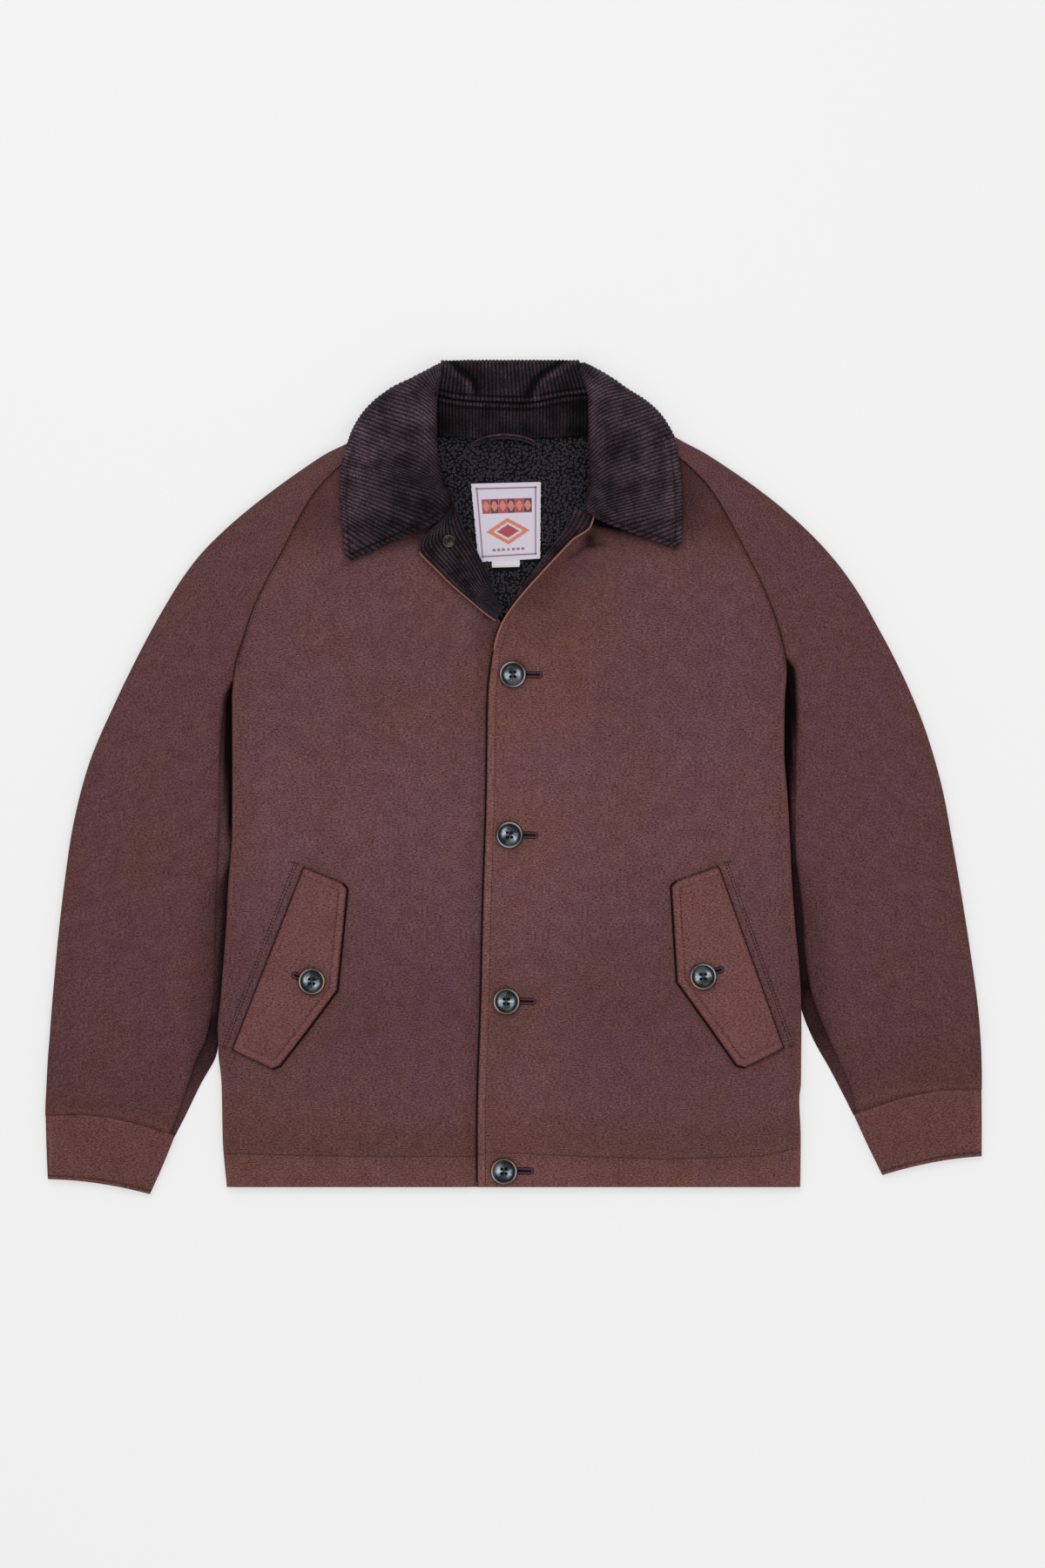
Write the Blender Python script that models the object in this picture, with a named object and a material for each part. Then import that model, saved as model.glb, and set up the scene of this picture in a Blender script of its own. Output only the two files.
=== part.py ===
"""Waxed cotton coat with a corduroy collar, lying on its back on a flat surface.

+X is the wearer's left, +Y runs from the hem to the collar, +Z is up.  Sizes are in
millimetres until wall() turns them into metres.  Every cloth piece is a closed wall between
an outer and an inner sheet of points, lofted through sections, and pieces that meet are
SEAM apart.
"""

import math

import bmesh
import bpy
from mathutils import Matrix, Vector

MM = 0.001
SEAM = 0.3              # clearance between pieces that are sewn or lie together

# Cloth, as walls
SHELL = 2.5             # waxed cotton with its interlining, at hems, plackets and the back
FRONT_PILE = 5.5        # front with the pile backing behind it
SLEEVE_WALL = 4.5       # sleeve with its wadded lining
PILE_LINING = 7.5       # deep pile lining of the back
CORD_CLOTH = 1.8        # corduroy
UNDER_COLLAR = 1.2
STAND_WALL = 3.2        # stand at the back neck: two layers of corduroy and a stiffener
WALE_RISE = 0.35        # rib height above and below the cloth's mean face

# Levels of the flat coat
SIDE_SEAM_Z = 7.0       # where front and back meet along the sides
SLEEVE_SEAM_Z = 6.0     # where the two halves of a sleeve meet along its outer edge
FALL = 3.0              # hidden stretch of the collar, folded under the back neck
LAP = 3.0               # drop from the left front's face to the right front below it
LAP_WIDTH = 40.0        # the right front reaches this far under the left one
HEM_Y = -376.6
HEM_FACE = 35.0         # the lining stops this far above the hem
LINING_TOP_Y = 338.0
STAND_TOP_Y = 382.4     # fold at the top of the back neck
ON_CLOTH = 20.0         # edge height that marks a row of the leaf lying on the cloth

# Rows of the body that follow the raglan seam, and the height at which the lap opens out
RAGLAN_FOOT_Y = 98
LAP_END_Y = 150

BUTTON_DIAMETER = 25.0
SMALL_BUTTON_DIAMETER = 12.0
BUTTON_THICKNESS = 4.2

# Half outline of the body, hem to neck: side edges, then the raglan seams above the armpits.
# columns: y, x on the wearer's right, x on the wearer's left
BODY_OUTLINE = (
    (-377, -263.0, 263.4),
    (-331, -266.8, 263.8),
    (-296, -267.4, 262.4),
    (-281, -267.8, 264.0),
    (-252, -270.8, 264.2),
    (-230, -271.4, 264.4),
    (-209, -269.2, 264.2),
    (-170, -266.0, 262.0),
    (-138, -263.6, 258.8),
    (-97, -261.5, 255.8),
    (-56, -258.3, 253.8),
    (-20, -258.0, 251.8),
    (25, -258.0, 248.6),
    (70, -258.2, 249.2),
    (98, -255.8, 251.0),
    (126, -247.6, 246.2),
    (153, -238.8, 237.6),
    (180, -226.0, 226.2),
    (207, -211.6, 212.6),
    (236, -197.0, 197.6),
    (262, -181.0, 182.0),
    (286, -157.2, 159.5),
    (312, -120.0, 125.0),
    (337, -96.0, 102.0),
)

# Centre edges of the two fronts, hem to neck.  The left front's is its placket edge and then
# the open neck; the right front's runs hidden under the lap and then along the lapel's fold.
# columns: y, x of the left front's edge, x of the right front's edge
CENTRE_EDGES = (
    (-377, -32.8, 8.0),
    (-319, -32.8, 8.0),
    (-207, -29.6, 11.0),
    (-101, -27.1, 13.0),
    (-23, -24.6, 15.0),
    (72, -23.2, 15.0),
    (104, -20.0, 12.0),
    (127, -15.2, 2.0),
    (141, -10.0, -11.0),
    (161, 3.6, -22.5),
    (185, 24.4, -30.0),
    (207, 45.0, -40.5),
    (217, 54.6, -46.0),
    (229, 70.8, -52.5),
    (256, 77.0, -66.0),
    (286, 79.0, -75.0),
    (312, 80.0, -78.0),
    (337, 83.0, -82.0),
)

# Height of the fronts' outer face, hem to neck.
# columns: y, crown, height at the outer edge, width over which the edge rounds off
FRONT_HEIGHTS = (
    (-377, 8.6, 5.0, 14),
    (-362, 9.6, 5.4, 18),
    (-335, 13.6, 6.6, 24),
    (-300, 16.2, 7.3, 30),
    (-230, 17.2, 7.3, 34),
    (-60, 17.6, 7.3, 34),
    (40, 17.4, 7.3, 34),
    (98, 17.0, 8.2, 38),
    (150, 17.0, 11.0, 50),
    (207, 16.6, 12.6, 60),
    (286, 15.6, 13.0, 50),
    (337, 14.4, 13.0, 20),
)

# Sections of the sleeves below the armpits.  Outer is the outer fold, front is the inner edge
# of the upper half, under is the inner edge of the lower half, which shows beyond it.
# columns: outer x, y; front x, y; under x, y; crown; bow of the section towards the shoulder
RIGHT_SLEEVE = (
    (-334, 131, -257.6, 86, -257.6, 86, 13.4, 0),
    (-350, 100, -263, 66, -259.5, 66, 13.2, 0),
    (-369, 60, -268, 38, -258.8, 38, 13.0, 0),
    (-394, -1, -270, -14, -256.6, -14, 12.6, 0),
    (-407, -62, -271, -68, -257.8, -68, 12.4, 0),
    (-415, -123, -273.5, -126, -261.4, -126, 12.2, 0),
    (-421, -180, -276, -182, -265.2, -182, 12.0, 1),
    (-425, -232, -279, -230, -270.0, -230, 11.8, 3),
    (-428, -270, -297, -273, -285.0, -277, 11.2, 6),
    (-429.4, -300, -309, -306, -301.0, -309, 10.2, 8),
    (-429.6, -311.0, -315.8, -328.2, -311.8, -329.4, 9.4, 7.4),
)
LEFT_SLEEVE = (
    (334, 138, 252.4, 104, 252.4, 104, 13.4, 0),
    (351, 106, 256, 80, 250.0, 80, 13.2, 0),
    (370, 64, 258.6, 48, 247.6, 48, 13.0, 0),
    (389, 9, 258.8, 2, 248.6, 2, 12.6, 0),
    (402, -55, 258.2, -58, 252.4, -58, 12.4, 0),
    (413, -119, 264.5, -120, 256.0, -120, 12.2, 1),
    (422, -178, 269.4, -180, 261.0, -180, 12.0, 2),
    (427.6, -222, 281, -220, 265.6, -220, 11.8, 4),
    (429.6, -258, 297, -256, 283.0, -257, 11.2, 6),
    (430, -277, 308, -281, 298.0, -287, 10.2, 7),
    (430, -286.3, 315.8, -308.8, 312.8, -309.8, 9.4, 6.4),
)

# Outer fold of the sleeves above the armpits, from the neck down to the first section above.
# columns: x, y on the wearer's right; x, y on the wearer's left
SHOULDER_OUTLINE = (
    (-100, 345, 106, 345),
    (-115, 333, 119, 334),
    (-132, 318, 134, 320),
    (-152, 306, 153, 309),
    (-174, 295, 177, 296),
    (-218, 264.6, 223, 265),
    (-258, 232.6, 262, 233),
    (-290, 200.6, 293, 201),
    (-312.4, 168.6, 316.4, 169),
    (-334, 131, 334, 138),
)
RAGLAN_ROWS = (RAGLAN_FOOT_Y, 122, 141, 161, 184, 208, 236, 262, 286, 312, 337)

# Cuffs: seam with the sleeve and lower edge.
# columns: outer x, y; inner x, y; bow of the section towards the shoulder; height
RIGHT_CUFF = (
    (-429.2, -312.2, -311.6, -331.2, 8.0, 8.4),
    (-428.6, -342, -322.0, -357.5, 6.0, 7.8),
    (-427.4, -369.4, -333.6, -383.2, 3.0, 7.0),
)
LEFT_CUFF = (
    (429.6, -287.4, 313.2, -311.2, 7.0, 8.4),
    (430, -318, 325.6, -339.0, 5.0, 7.8),
    (430, -348.4, 338.8, -365.8, 3.0, 7.0),
)
CUFF_WALL = 3.0

# Leaves of the collar, from the top fold to the point; each row is the run of a wale.
# columns: outer x, y; inner x, y; height of the outer edge; 1 where the inner end is the roll,
# 0 where it is a free edge; height of the roll's crest
RIGHT_LEAF = (
    (-67.6, 379.6, -66.0, 367.0, 3.7, 1.0, 17.0),
    (-89.2, 368.4, -68.4, 354.8, 3.7, 1.0, 20.5),
    (-113.2, 356.4, -70.0, 340.4, 3.7, 1.0, 24.0),
    (-132.4, 341.2, -70.0, 319.6, 3.7, 1.0, 26.5),
    (-145.2, 323.6, -68.4, 293.2, 9.0, 1.0, 27.0),
    (-152.4, 305.2, -62.8, 268.4, 18.0, 1.0, 27.0),
    (-157.2, 287.6, -56.4, 255.6, ON_CLOTH, 0.8, 27.0),
    (-158.8, 268.4, -66.8, 235.6, ON_CLOTH, 0.2, 27.0),
    (-158.8, 250.8, -97.2, 220.4, ON_CLOTH, 0.0, 27.0),
    (-157.2, 231.6, -122.0, 209.2, ON_CLOTH, 0.0, 27.0),
    (-154.8, 202.8, -147.6, 198.0, ON_CLOTH, 0.0, 27.0),
)
LEFT_LEAF = (
    (64.4, 380.4, 59.6, 370.8, 3.7, 1.0, 17.0),
    (86.0, 369.2, 64.4, 361.2, 3.7, 1.0, 20.0),
    (106.0, 355.6, 68.4, 346.8, 3.7, 1.0, 23.5),
    (124.4, 343.6, 69.2, 326.0, 3.7, 1.0, 26.5),
    (138.0, 329.2, 69.2, 303.6, 8.0, 1.0, 27.0),
    (148.4, 309.2, 69.2, 281.2, 18.0, 1.0, 27.0),
    (151.6, 289.2, 67.6, 261.2, ON_CLOTH, 1.0, 27.0),
    (154.0, 270.8, 66.0, 245.2, ON_CLOTH, 0.6, 27.0),
    (154.8, 253.2, 80.4, 234.0, ON_CLOTH, 0.0, 27.0),
    (154.8, 235.6, 116.4, 220.4, ON_CLOTH, 0.0, 27.0),
    (154.0, 214.0, 147.6, 209.2, ON_CLOTH, 0.0, 27.0),
)
LEAF_WALES = 56

# Hidden stretch of the collar under the back neck: its fold and its free edge.
# columns: x, y of the fold, y of the free edge
BACK_FALL = (
    (-146, 320, 312),
    (-132, 340, 306),
    (-113, 355, 302),
    (-89, 367, 299),
    (-66, 379.5, 297),
    (0, 381.5, 295),
    (64, 380, 297),
    (86, 368, 299),
    (106, 354.5, 302),
    (125, 342, 305),
    (141, 322, 311),
)

# Seam between the collar's stand and the neck facing, and the facing's lower edge.
# columns: x, y of the seam, y of the lower edge
NECK_SEAM = (
    (-66, 350.0, 312),
    (-35, 345.6, 309),
    (0, 343.4, 308),
    (35, 345.0, 309),
    (64, 348.4, 312),
)

# Turned-back lapel of the right front, gorge to lap.
# columns: x, y of the fold; x, y of the free edge
LAPEL = (
    (-55.6, 252.0, -66.4, 234.2),
    (-50.8, 241.2, -80.4, 221.0),
    (-46.8, 230.2, -86.0, 209.8),
    (-42.8, 222.0, -82.6, 202.5),
    (-33.2, 206.0, -69.2, 189.2),
    (-24.8, 188.4, -56.4, 176.4),
    (-18.4, 171.0, -37.6, 160.4),
    (-14.2, 160.6, -24.8, 149.6),
    (-10.4, 153.2, -15.8, 143.8),
)
LAPEL_WALES = 10
LAPEL_FACE_Z = 20.3     # the ribbed face below the lapel's button

# Facing that shows inside the left front's neck edge.
# columns: x, y of the edge that shows; x, y of the edge tucked under the front
LEFT_FACING = (
    (-8.6, 150.6, -2.0, 144.0),
    (7.0, 173.6, 14.0, 166.5),
    (25.4, 199.0, 32.5, 190.5),
    (36.5, 214.0, 50.0, 208.0),
    (49.0, 231.0, 66.5, 221.5),
    (56.0, 247.0, 76.0, 236.0),
)

# Pocket flaps: sewn edge and free edge, top to bottom.
# columns: x, y of the sewn edge; x, y of the free edge
RIGHT_FLAP = (
    (-191.6, -82.8, -157.0, -97.2),
    (-193.2, -86.8, -152.2, -103.0),
    (-210.0, -129.6, -156.4, -146.0),
    (-228.0, -175.6, -161.4, -195.6),
    (-243.0, -213.8, -187.0, -230.0),
    (-254.6, -243.4, -213.6, -264.6),
    (-257.4, -250.6, -220.8, -267.8),
)
LEFT_FLAP = (
    (187.6, -82.0, 150.0, -95.2),
    (189.2, -86.2, 144.8, -100.6),
    (203.6, -126.4, 147.2, -140.0),
    (219.6, -170.8, 150.2, -188.2),
    (233.6, -210.0, 178.0, -226.6),
    (244.8, -241.2, 204.6, -264.4),
    (247.6, -249.0, 212.6, -266.4),
)
FLAP_WALL = 2.6

LABEL = {"x": -6.4, "y": 231.2, "width": 65.0, "length": 73.0, "tilt": -1.5}
SIZE_TAB = {"x": -6.8, "y": 191.6, "width": 25.6, "length": 6.0, "tilt": -1.5}
LOOP = {"x": -8.0, "y": 304.6, "width": 54.0, "rise": 7.0, "band": 5.0}

# Buttons: name, x, y, diameter
BUTTONS = (
    ("front_button_1", -0.6, 93.5, BUTTON_DIAMETER),
    ("front_button_2", -3.5, -53.5, BUTTON_DIAMETER),
    ("front_button_3", -6.4, -205.8, BUTTON_DIAMETER),
    ("front_button_4", -8.6, -361.6, BUTTON_DIAMETER),
    ("pocket_button_right", -184.6, -187.4, BUTTON_DIAMETER),
    ("pocket_button_left", 173.7, -183.0, BUTTON_DIAMETER),
    ("lapel_button", -59.0, 215.4, SMALL_BUTTON_DIAMETER),
)

# Soft folds in the cloth, as troughs (negative) and ridges across a line.
# columns: x, y of one end; x, y of the other; width; depth
FOLDS = (
    (-262, -196, -236, -262, 16, -1.6),
    (-285, -215, -345, -196, 22, -1.8),
    (-288, -150, -330, -128, 24, -1.2),
    (268, -196, 325, -182, 22, -1.8),
    (262, -120, 310, -100, 24, -1.2),
    (-250, 95, -292, 150, 26, -1.6),
    (246, 112, 286, 160, 26, -1.6),
    (-240, 60, -205, 20, 26, -1.2),
    (236, 66, 204, 24, 26, -1.2),
    (-395, -270, -350, -296, 18, -1.0),
    (395, -244, 352, -270, 18, -1.0),
    (-60, -60, -45, -210, 34, 0.7),
    (60, -90, 70, -250, 40, 0.7),
)


# --- curves and levels -------------------------------------------------------------------

def ease(t):
    t = min(max(t, 0.0), 1.0)
    return t * t * (3.0 - 2.0 * t)


def lerp(a, b, t):
    return a + (b - a) * t


def read(table, key, column):
    """A column of a table at a value of its first column, on a curve that never overshoots."""
    keys = [row[0] for row in table]
    last = len(keys) - 2
    at = 0
    while at < last and key > keys[at + 1]:
        at += 1

    def slope(i):
        return (table[i + 1][column] - table[i][column]) / (keys[i + 1] - keys[i])

    def tangent(i):
        if i == 0 or i == last + 1:
            return slope(min(i, last))
        before, after = slope(i - 1), slope(i)
        if before * after <= 0:
            return 0.0
        return 2.0 * before * after / (before + after)

    span = keys[at + 1] - keys[at]
    t = min(max((key - keys[at]) / span, 0.0), 1.0)
    start, end = table[at][column], table[at + 1][column]
    t2, t3 = t * t, t * t * t
    return ((2 * t3 - 3 * t2 + 1) * start + (t3 - 2 * t2 + t) * span * tangent(at)
            + (3 * t2 - 2 * t3) * end + (t3 - t2) * span * tangent(at + 1))


def along(table, t):
    """Every column of a table at t from 0, its first row, to 1, its last (Catmull-Rom)."""
    place = min(max(t, 0.0), 1.0) * (len(table) - 1)
    i = min(int(place), len(table) - 2)
    f = place - i
    rows = [table[min(max(k, 0), len(table) - 1)] for k in (i - 1, i, i + 1, i + 2)]
    return [0.5 * (2 * b + (c - a) * f + (2 * a - 5 * b + 4 * c - d) * f * f
                   + (3 * b - a - 3 * c + d) * f ** 3) for a, b, c, d in zip(*rows)]


def resampled(points, count):
    """The curve through these points, at equal steps of its length."""
    fine = [Vector(along(points, k / 200)) for k in range(201)]
    lengths = [0.0]
    for a, b in zip(fine, fine[1:]):
        lengths.append(lengths[-1] + (b - a).length)
    out = []
    k = 0
    for n in range(count):
        target = lengths[-1] * n / (count - 1)
        while k < 199 and lengths[k + 1] < target:
            k += 1
        f = (target - lengths[k]) / (lengths[k + 1] - lengths[k])
        out.append(fine[k].lerp(fine[k + 1], f))
    return out


def folds(x, y):
    """Height that the soft folds add at a point."""
    total = 0.0
    for x0, y0, x1, y1, width, depth in FOLDS:
        run = Vector((x1 - x0, y1 - y0))
        away = Vector((x - x0, y - y0))
        t = away.dot(run) / run.length_squared
        side = (away - run * t).length
        ends = math.exp(-(max(abs(t - 0.5) - 0.35, 0.0) / 0.22) ** 2)
        total += depth * ends * math.exp(-(side / (0.5 * width)) ** 2)
    return total


def body_edge(y, side):
    return read(BODY_OUTLINE, y, 2 if side > 0 else 1)


def rounding(distance, width):
    """0 at a rounded edge, 1 from its width inwards, on a quarter ellipse."""
    return math.sqrt(1.0 - (1.0 - min(max(distance / width, 0.0), 1.0)) ** 2)


def front_height(x, y):
    """Outer face of the closed fronts."""
    side = 1 if x > -10 else -1
    crown = read(FRONT_HEIGHTS, y, 1)
    edge = read(FRONT_HEIGHTS, y, 2)
    inside = rounding(abs(body_edge(y, side)) - abs(x), read(FRONT_HEIGHTS, y, 3))
    return edge + (crown + folds(x, y) - edge) * inside


def front_wall(y):
    return lerp(SHELL + 0.3, FRONT_PILE, ease((y + 368) / 60))


def floor_lift(x, y):
    """The back lies over the collar's hidden stretch, and on the surface everywhere else."""
    edge = read(BACK_FALL, x, 2)
    reach = ease((205 - abs(x)) / 30)
    return (FALL + 1.5 * SEAM) * ease((y - (edge - 54)) / 36) * reach


# --- walls -------------------------------------------------------------------------------

def material(name, colour, roughness):
    made = bpy.data.materials.get(name) or bpy.data.materials.new(name)
    made.use_nodes = True
    shader = made.node_tree.nodes["Principled BSDF"]
    shader.inputs["Base Color"].default_value = (*colour, 1.0)
    shader.inputs["Roughness"].default_value = roughness
    shader.inputs["Metallic"].default_value = 0.0
    made.diffuse_color = (*colour, 1.0)
    return made


def finished(name, mesh, finish):
    bmesh.ops.recalc_face_normals(mesh, faces=mesh.faces)
    data = bpy.data.meshes.new(name)
    mesh.to_mesh(data)
    mesh.free()
    data.materials.append(finish)
    data.shade_smooth()
    data.set_sharp_from_angle(angle=math.radians(45))
    made = bpy.data.objects.new(name, data)
    bpy.context.collection.objects.link(made)
    return made


def wall(name, outer, inner, finish):
    """A closed wall between two sheets of points.  The inner one may have fewer rows."""
    mesh = bmesh.new()
    top = [[mesh.verts.new(Vector(p) * MM) for p in row] for row in outer]
    low = [[mesh.verts.new(Vector(p) * MM) for p in row] for row in inner]
    step = (len(top) - 1) // (len(low) - 1)
    columns = len(top[0])
    for sheet in (top, low):
        for a, b in zip(sheet, sheet[1:]):
            for j in range(columns - 1):
                mesh.faces.new((a[j], a[j + 1], b[j + 1], b[j]))
    for j in (0, columns - 1):
        for i in range(len(low) - 1):
            rim = [top[k][j] for k in range(i * step, (i + 1) * step + 1)]
            mesh.faces.new(rim + [low[i + 1][j], low[i][j]])
    for i, k in ((0, 0), (-1, -1)):
        for j in range(columns - 1):
            mesh.faces.new((top[i][j], top[i][j + 1], low[k][j + 1], low[k][j]))
    return finished(name, mesh, finish)


def edge(width=0.0, height=None, fold=0.0, steps=0):
    """How a section ends: over what width it rounds off, how high, and whether it is a fold."""
    return {"width": width, "height": height, "fold": fold, "steps": steps}


def section(a, b, start, end, level, spans, thickness, marks=(), bow=0.0, up=1.0, rise=0.0):
    """Outer and inner points of a cloth section from a to b.

    level(x, y) is the outer face's height away from the ends, thickness(inside) the wall's,
    where inside runs from 0 at a rounded edge to 1.  marks are distances from a that get points
    of their own.  up is -1 for cloth that faces down.
    """
    a, b = Vector(a[:2]), Vector(b[:2])
    length = (b - a).length
    run = (b - a) / length
    across = Vector((-run.y, run.x))
    if across.y < 0:
        across = -across
    stops = []
    for k in range(start["steps"]):
        turn = 0.5 * math.pi * k / start["steps"]
        stops.append((start["width"] * (1 - math.cos(turn)), turn, start, 1.0))
    flat_end = length - end["width"]
    flats = [start["width"], *marks]
    flats += [lerp(flats[-1], flat_end, (k + 1) / spans) for k in range(spans)]
    stops += [(distance, 0.5 * math.pi, None, 0.0) for distance in flats]
    for k in reversed(range(end["steps"])):
        turn = 0.5 * math.pi * k / end["steps"]
        stops.append((length - end["width"] * (1 - math.cos(turn)), turn, end, -1.0))
    outer, inner = [], []
    for distance, turn, side, inward in stops:
        u = distance / length
        place = a + run * distance + across * (bow * 4 * u * (1 - u))
        z = level(place.x, place.y)
        inside = math.sin(turn)
        slope = 0.5 * math.pi
        if side:
            z = side["height"] + (z - side["height"]) * inside
            slope = 0.5 * math.pi - (0.5 * math.pi - turn) * side["fold"]
        out = Vector((-inward * run.x * math.cos(slope), -inward * run.y * math.cos(slope),
                      up * math.sin(slope)))
        point = Vector((place.x, place.y, z))
        outer.append(point + out * rise)
        inner.append(point - out * thickness(inside))
    return outer, inner


def loft(name, sections, finish):
    return wall(name, [s[0] for s in sections], [s[1] for s in sections], finish)


# --- the cut pieces ----------------------------------------------------------------------

def side_name(side):
    return "left" if side > 0 else "right"


def rows_between(low, high, step):
    count = max(1, round((high - low) / step))
    return [lerp(low, high, k / count) for k in range(count)]


BODY_ROWS = ([HEM_Y, -366, -350, -328, -305]
             + rows_between(-280, 70, 34) + [70, 86] + list(RAGLAN_ROWS))
BACK_ROWS = [HEM_Y, -360, -305] + rows_between(-280, 70, 58) + [70, 86] + list(RAGLAN_ROWS)


def make_front(side, canvas):
    """A front from its centre edge to the side seam and the raglan seam."""
    column = 1 if side > 0 else 2
    sections = []
    for y in BODY_ROWS:
        centre = read(CENTRE_EDGES, y, column)
        placket = read(CENTRE_EDGES, y, 1)
        lapped = ease((170 - y) / 15) if side < 0 else ease((152 - y) / 12)
        lap = centre - placket if side < 0 else LAP_WIDTH
        on_side = ease((RAGLAN_FOOT_Y - y) / 10)
        outer_edge = body_edge(y, side) - side * 0.5 * SEAM * (1 - on_side)
        length = abs(outer_edge - centre)
        rim = edge(width=min(read(FRONT_HEIGHTS, y, 3) * 0.8, 0.3 * length), fold=on_side, steps=3,
                   height=read(FRONT_HEIGHTS, y, 2) + 0.5 * SEAM)
        dip_start, dip_end = lerp(14, lap, lapped), lerp(30, lap + 16, lapped)
        early = 9 * ease((y - 100) / 15)
        marks = (0.5 * dip_start, dip_start, dip_end) if side > 0 else (lap + early, lap + early + 14)
        if side < 0 and y > LAP_END_Y:
            marks = (12, 28)
        marks = [mark * min(1.0, length / 60) for mark in marks]

        def level(x, height_y, placket=placket, lapped=lapped, early=early):
            height = front_height(x, height_y)
            if side < 0:
                height -= LAP * lapped * ease((x - placket + 14 + early) / 12)
            return height

        full = front_wall(y)
        outer, inner = section((centre, y), (outer_edge, y), edge(), rim, level, 5,
                               lambda inside: lerp(SHELL, full, inside), marks=marks)
        for n, (over, under) in enumerate(zip(outer, inner)):
            from_edge = abs(over.x - centre)
            if side > 0:
                thin = 1 - ease((from_edge - dip_start - 3) / (dip_end - dip_start - 6))
                under.z = lerp(under.z, max(under.z, over.z - LAP + SEAM), thin)
            elif y < LAP_END_Y:
                if over.x > placket - 16:
                    under.z = front_height(over.x, y) - max(full, LAP + SHELL + 0.1)
            else:
                thin = 1 - ease((from_edge - 12) / 12)
                under.z = lerp(under.z, max(under.z, over.z - LAP + SEAM), thin)
        sections.append((outer, inner))
    return loft("front_" + side_name(side), sections, canvas)


def make_back(canvas):
    """The back, flat where it rests, rising at the sides to meet the fronts."""
    sections = []
    for y in BACK_ROWS:
        on_side = ease((RAGLAN_FOOT_Y - y) / 10)
        gap = 0.5 * SEAM * (1 - on_side)
        seam_z = min(read(FRONT_HEIGHTS, y, 2), SIDE_SEAM_Z + SEAM) - 0.5 * SEAM
        if on_side < 0.5:
            seam_z = floor_lift(body_edge(y, 1), y) + 0.4
        rim = edge(width=lerp(3.0, 8.0, on_side), height=seam_z, fold=on_side, steps=2)
        sections.append(section((body_edge(y, -1) + gap, y), (body_edge(y, 1) - gap, y), rim, rim,
                                floor_lift, 5, lambda inside: SHELL, up=-1.0))
    return loft("back", sections, canvas)


def make_back_lining(pile):
    """Pile lining of the back: it stands higher in the open neck and ends above the hem."""
    sections = []
    between = [y for y in BACK_ROWS if HEM_Y + HEM_FACE + 10 < y < LINING_TOP_Y - 8]
    for y in [HEM_Y + HEM_FACE] + between + [LINING_TOP_Y]:
        inset = lerp(20, 6, ease((y - RAGLAN_FOOT_Y) / 30))
        neck_left = max(read(CENTRE_EDGES, y, 1), 8)
        neck_right = min(read(CENTRE_EDGES, y, 2), -30)
        open_neck = ease((y - 141) / 30)
        ends = (body_edge(y, 1) - inset, body_edge(y, -1) + inset)
        outer, inner = [], []
        for start, end, steps in ((ends[0], neck_left + 8, 3), (neck_left + 2, neck_right - 2, 3),
                                  (neck_right - 8, ends[1], 3)):
            for k in range(steps + 1):
                x = lerp(start, end, k / steps)
                under_front = front_height(x, y) - max(front_wall(y), LAP + SHELL) - 4 * SEAM
                under_front = min(under_front, lining_height(x, y))
                in_neck = open_neck if steps == 3 and start == neck_left + 2 else 0.0
                low = SHELL + SEAM + max(floor_lift(x, y + 16), floor_lift(x, y)) + 0.1
                high = max(lerp(under_front, lining_height(x, y), in_neck), low + 1.5)
                rim = x in ends
                outer.append(Vector((x, y, lerp(high, low + 2.0, rim))))
                inner.append(Vector((x, y, low)))
        sections.append((outer, inner))
    return loft("back_lining", sections, pile)


def sleeve_rows(side):
    """Sections of a sleeve, neck to cuff: outer fold, front edge, under edge, crown, bow."""
    table = LEFT_SLEEVE if side > 0 else RIGHT_SLEEVE
    shoulder = [(row[2], row[3]) if side > 0 else (row[0], row[1]) for row in SHOULDER_OUTLINE]
    outer = resampled(shoulder, len(RAGLAN_ROWS) + 1)
    rows = []
    for k, y in enumerate(reversed(RAGLAN_ROWS)):
        seam = Vector((body_edge(y, side) + side * 0.5 * SEAM, y))
        rows.append({"outer": outer[k], "front": seam, "under": seam, "crown": 13.6,
                     "bow": 0.0, "raglan": 1.0})
    steps = round(1.2 * (len(table) - 1))
    for k in range(steps + 1):
        ox, oy, fx, fy, ux, uy, crown, bow = along(table, k / steps)
        rows.append({"outer": Vector((ox, oy)), "front": Vector((fx, fy)),
                     "under": Vector((ux, uy)), "crown": crown, "bow": bow, "raglan": 0.0})
    return rows


def make_sleeve(side, canvas):
    """Upper half of a raglan sleeve, from the outer fold to the raglan seam and inner edge."""
    sections = []
    for row in sleeve_rows(side):
        reach = (row["front"] - row["outer"]).length
        seam_z = read(FRONT_HEIGHTS, row["front"].y, 2) + 0.5 * SEAM
        raglan = row["raglan"]
        outer_rim = edge(width=min(30, 0.4 * reach), height=SLEEVE_SEAM_Z + 0.5 * SEAM,
                         fold=1.0, steps=3)
        inner_rim = edge(width=min(20, 0.3 * reach), fold=1 - raglan, steps=2,
                         height=lerp(5.4, seam_z, raglan))

        def level(x, y, crown=row["crown"]):
            return crown + folds(x, y)

        sections.append(section(row["outer"], row["front"], outer_rim, inner_rim, level, 5,
                                lambda inside: lerp(3.0, SLEEVE_WALL, inside), bow=row["bow"]))
    return loft("sleeve_upper_" + side_name(side), sections, canvas)


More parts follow.
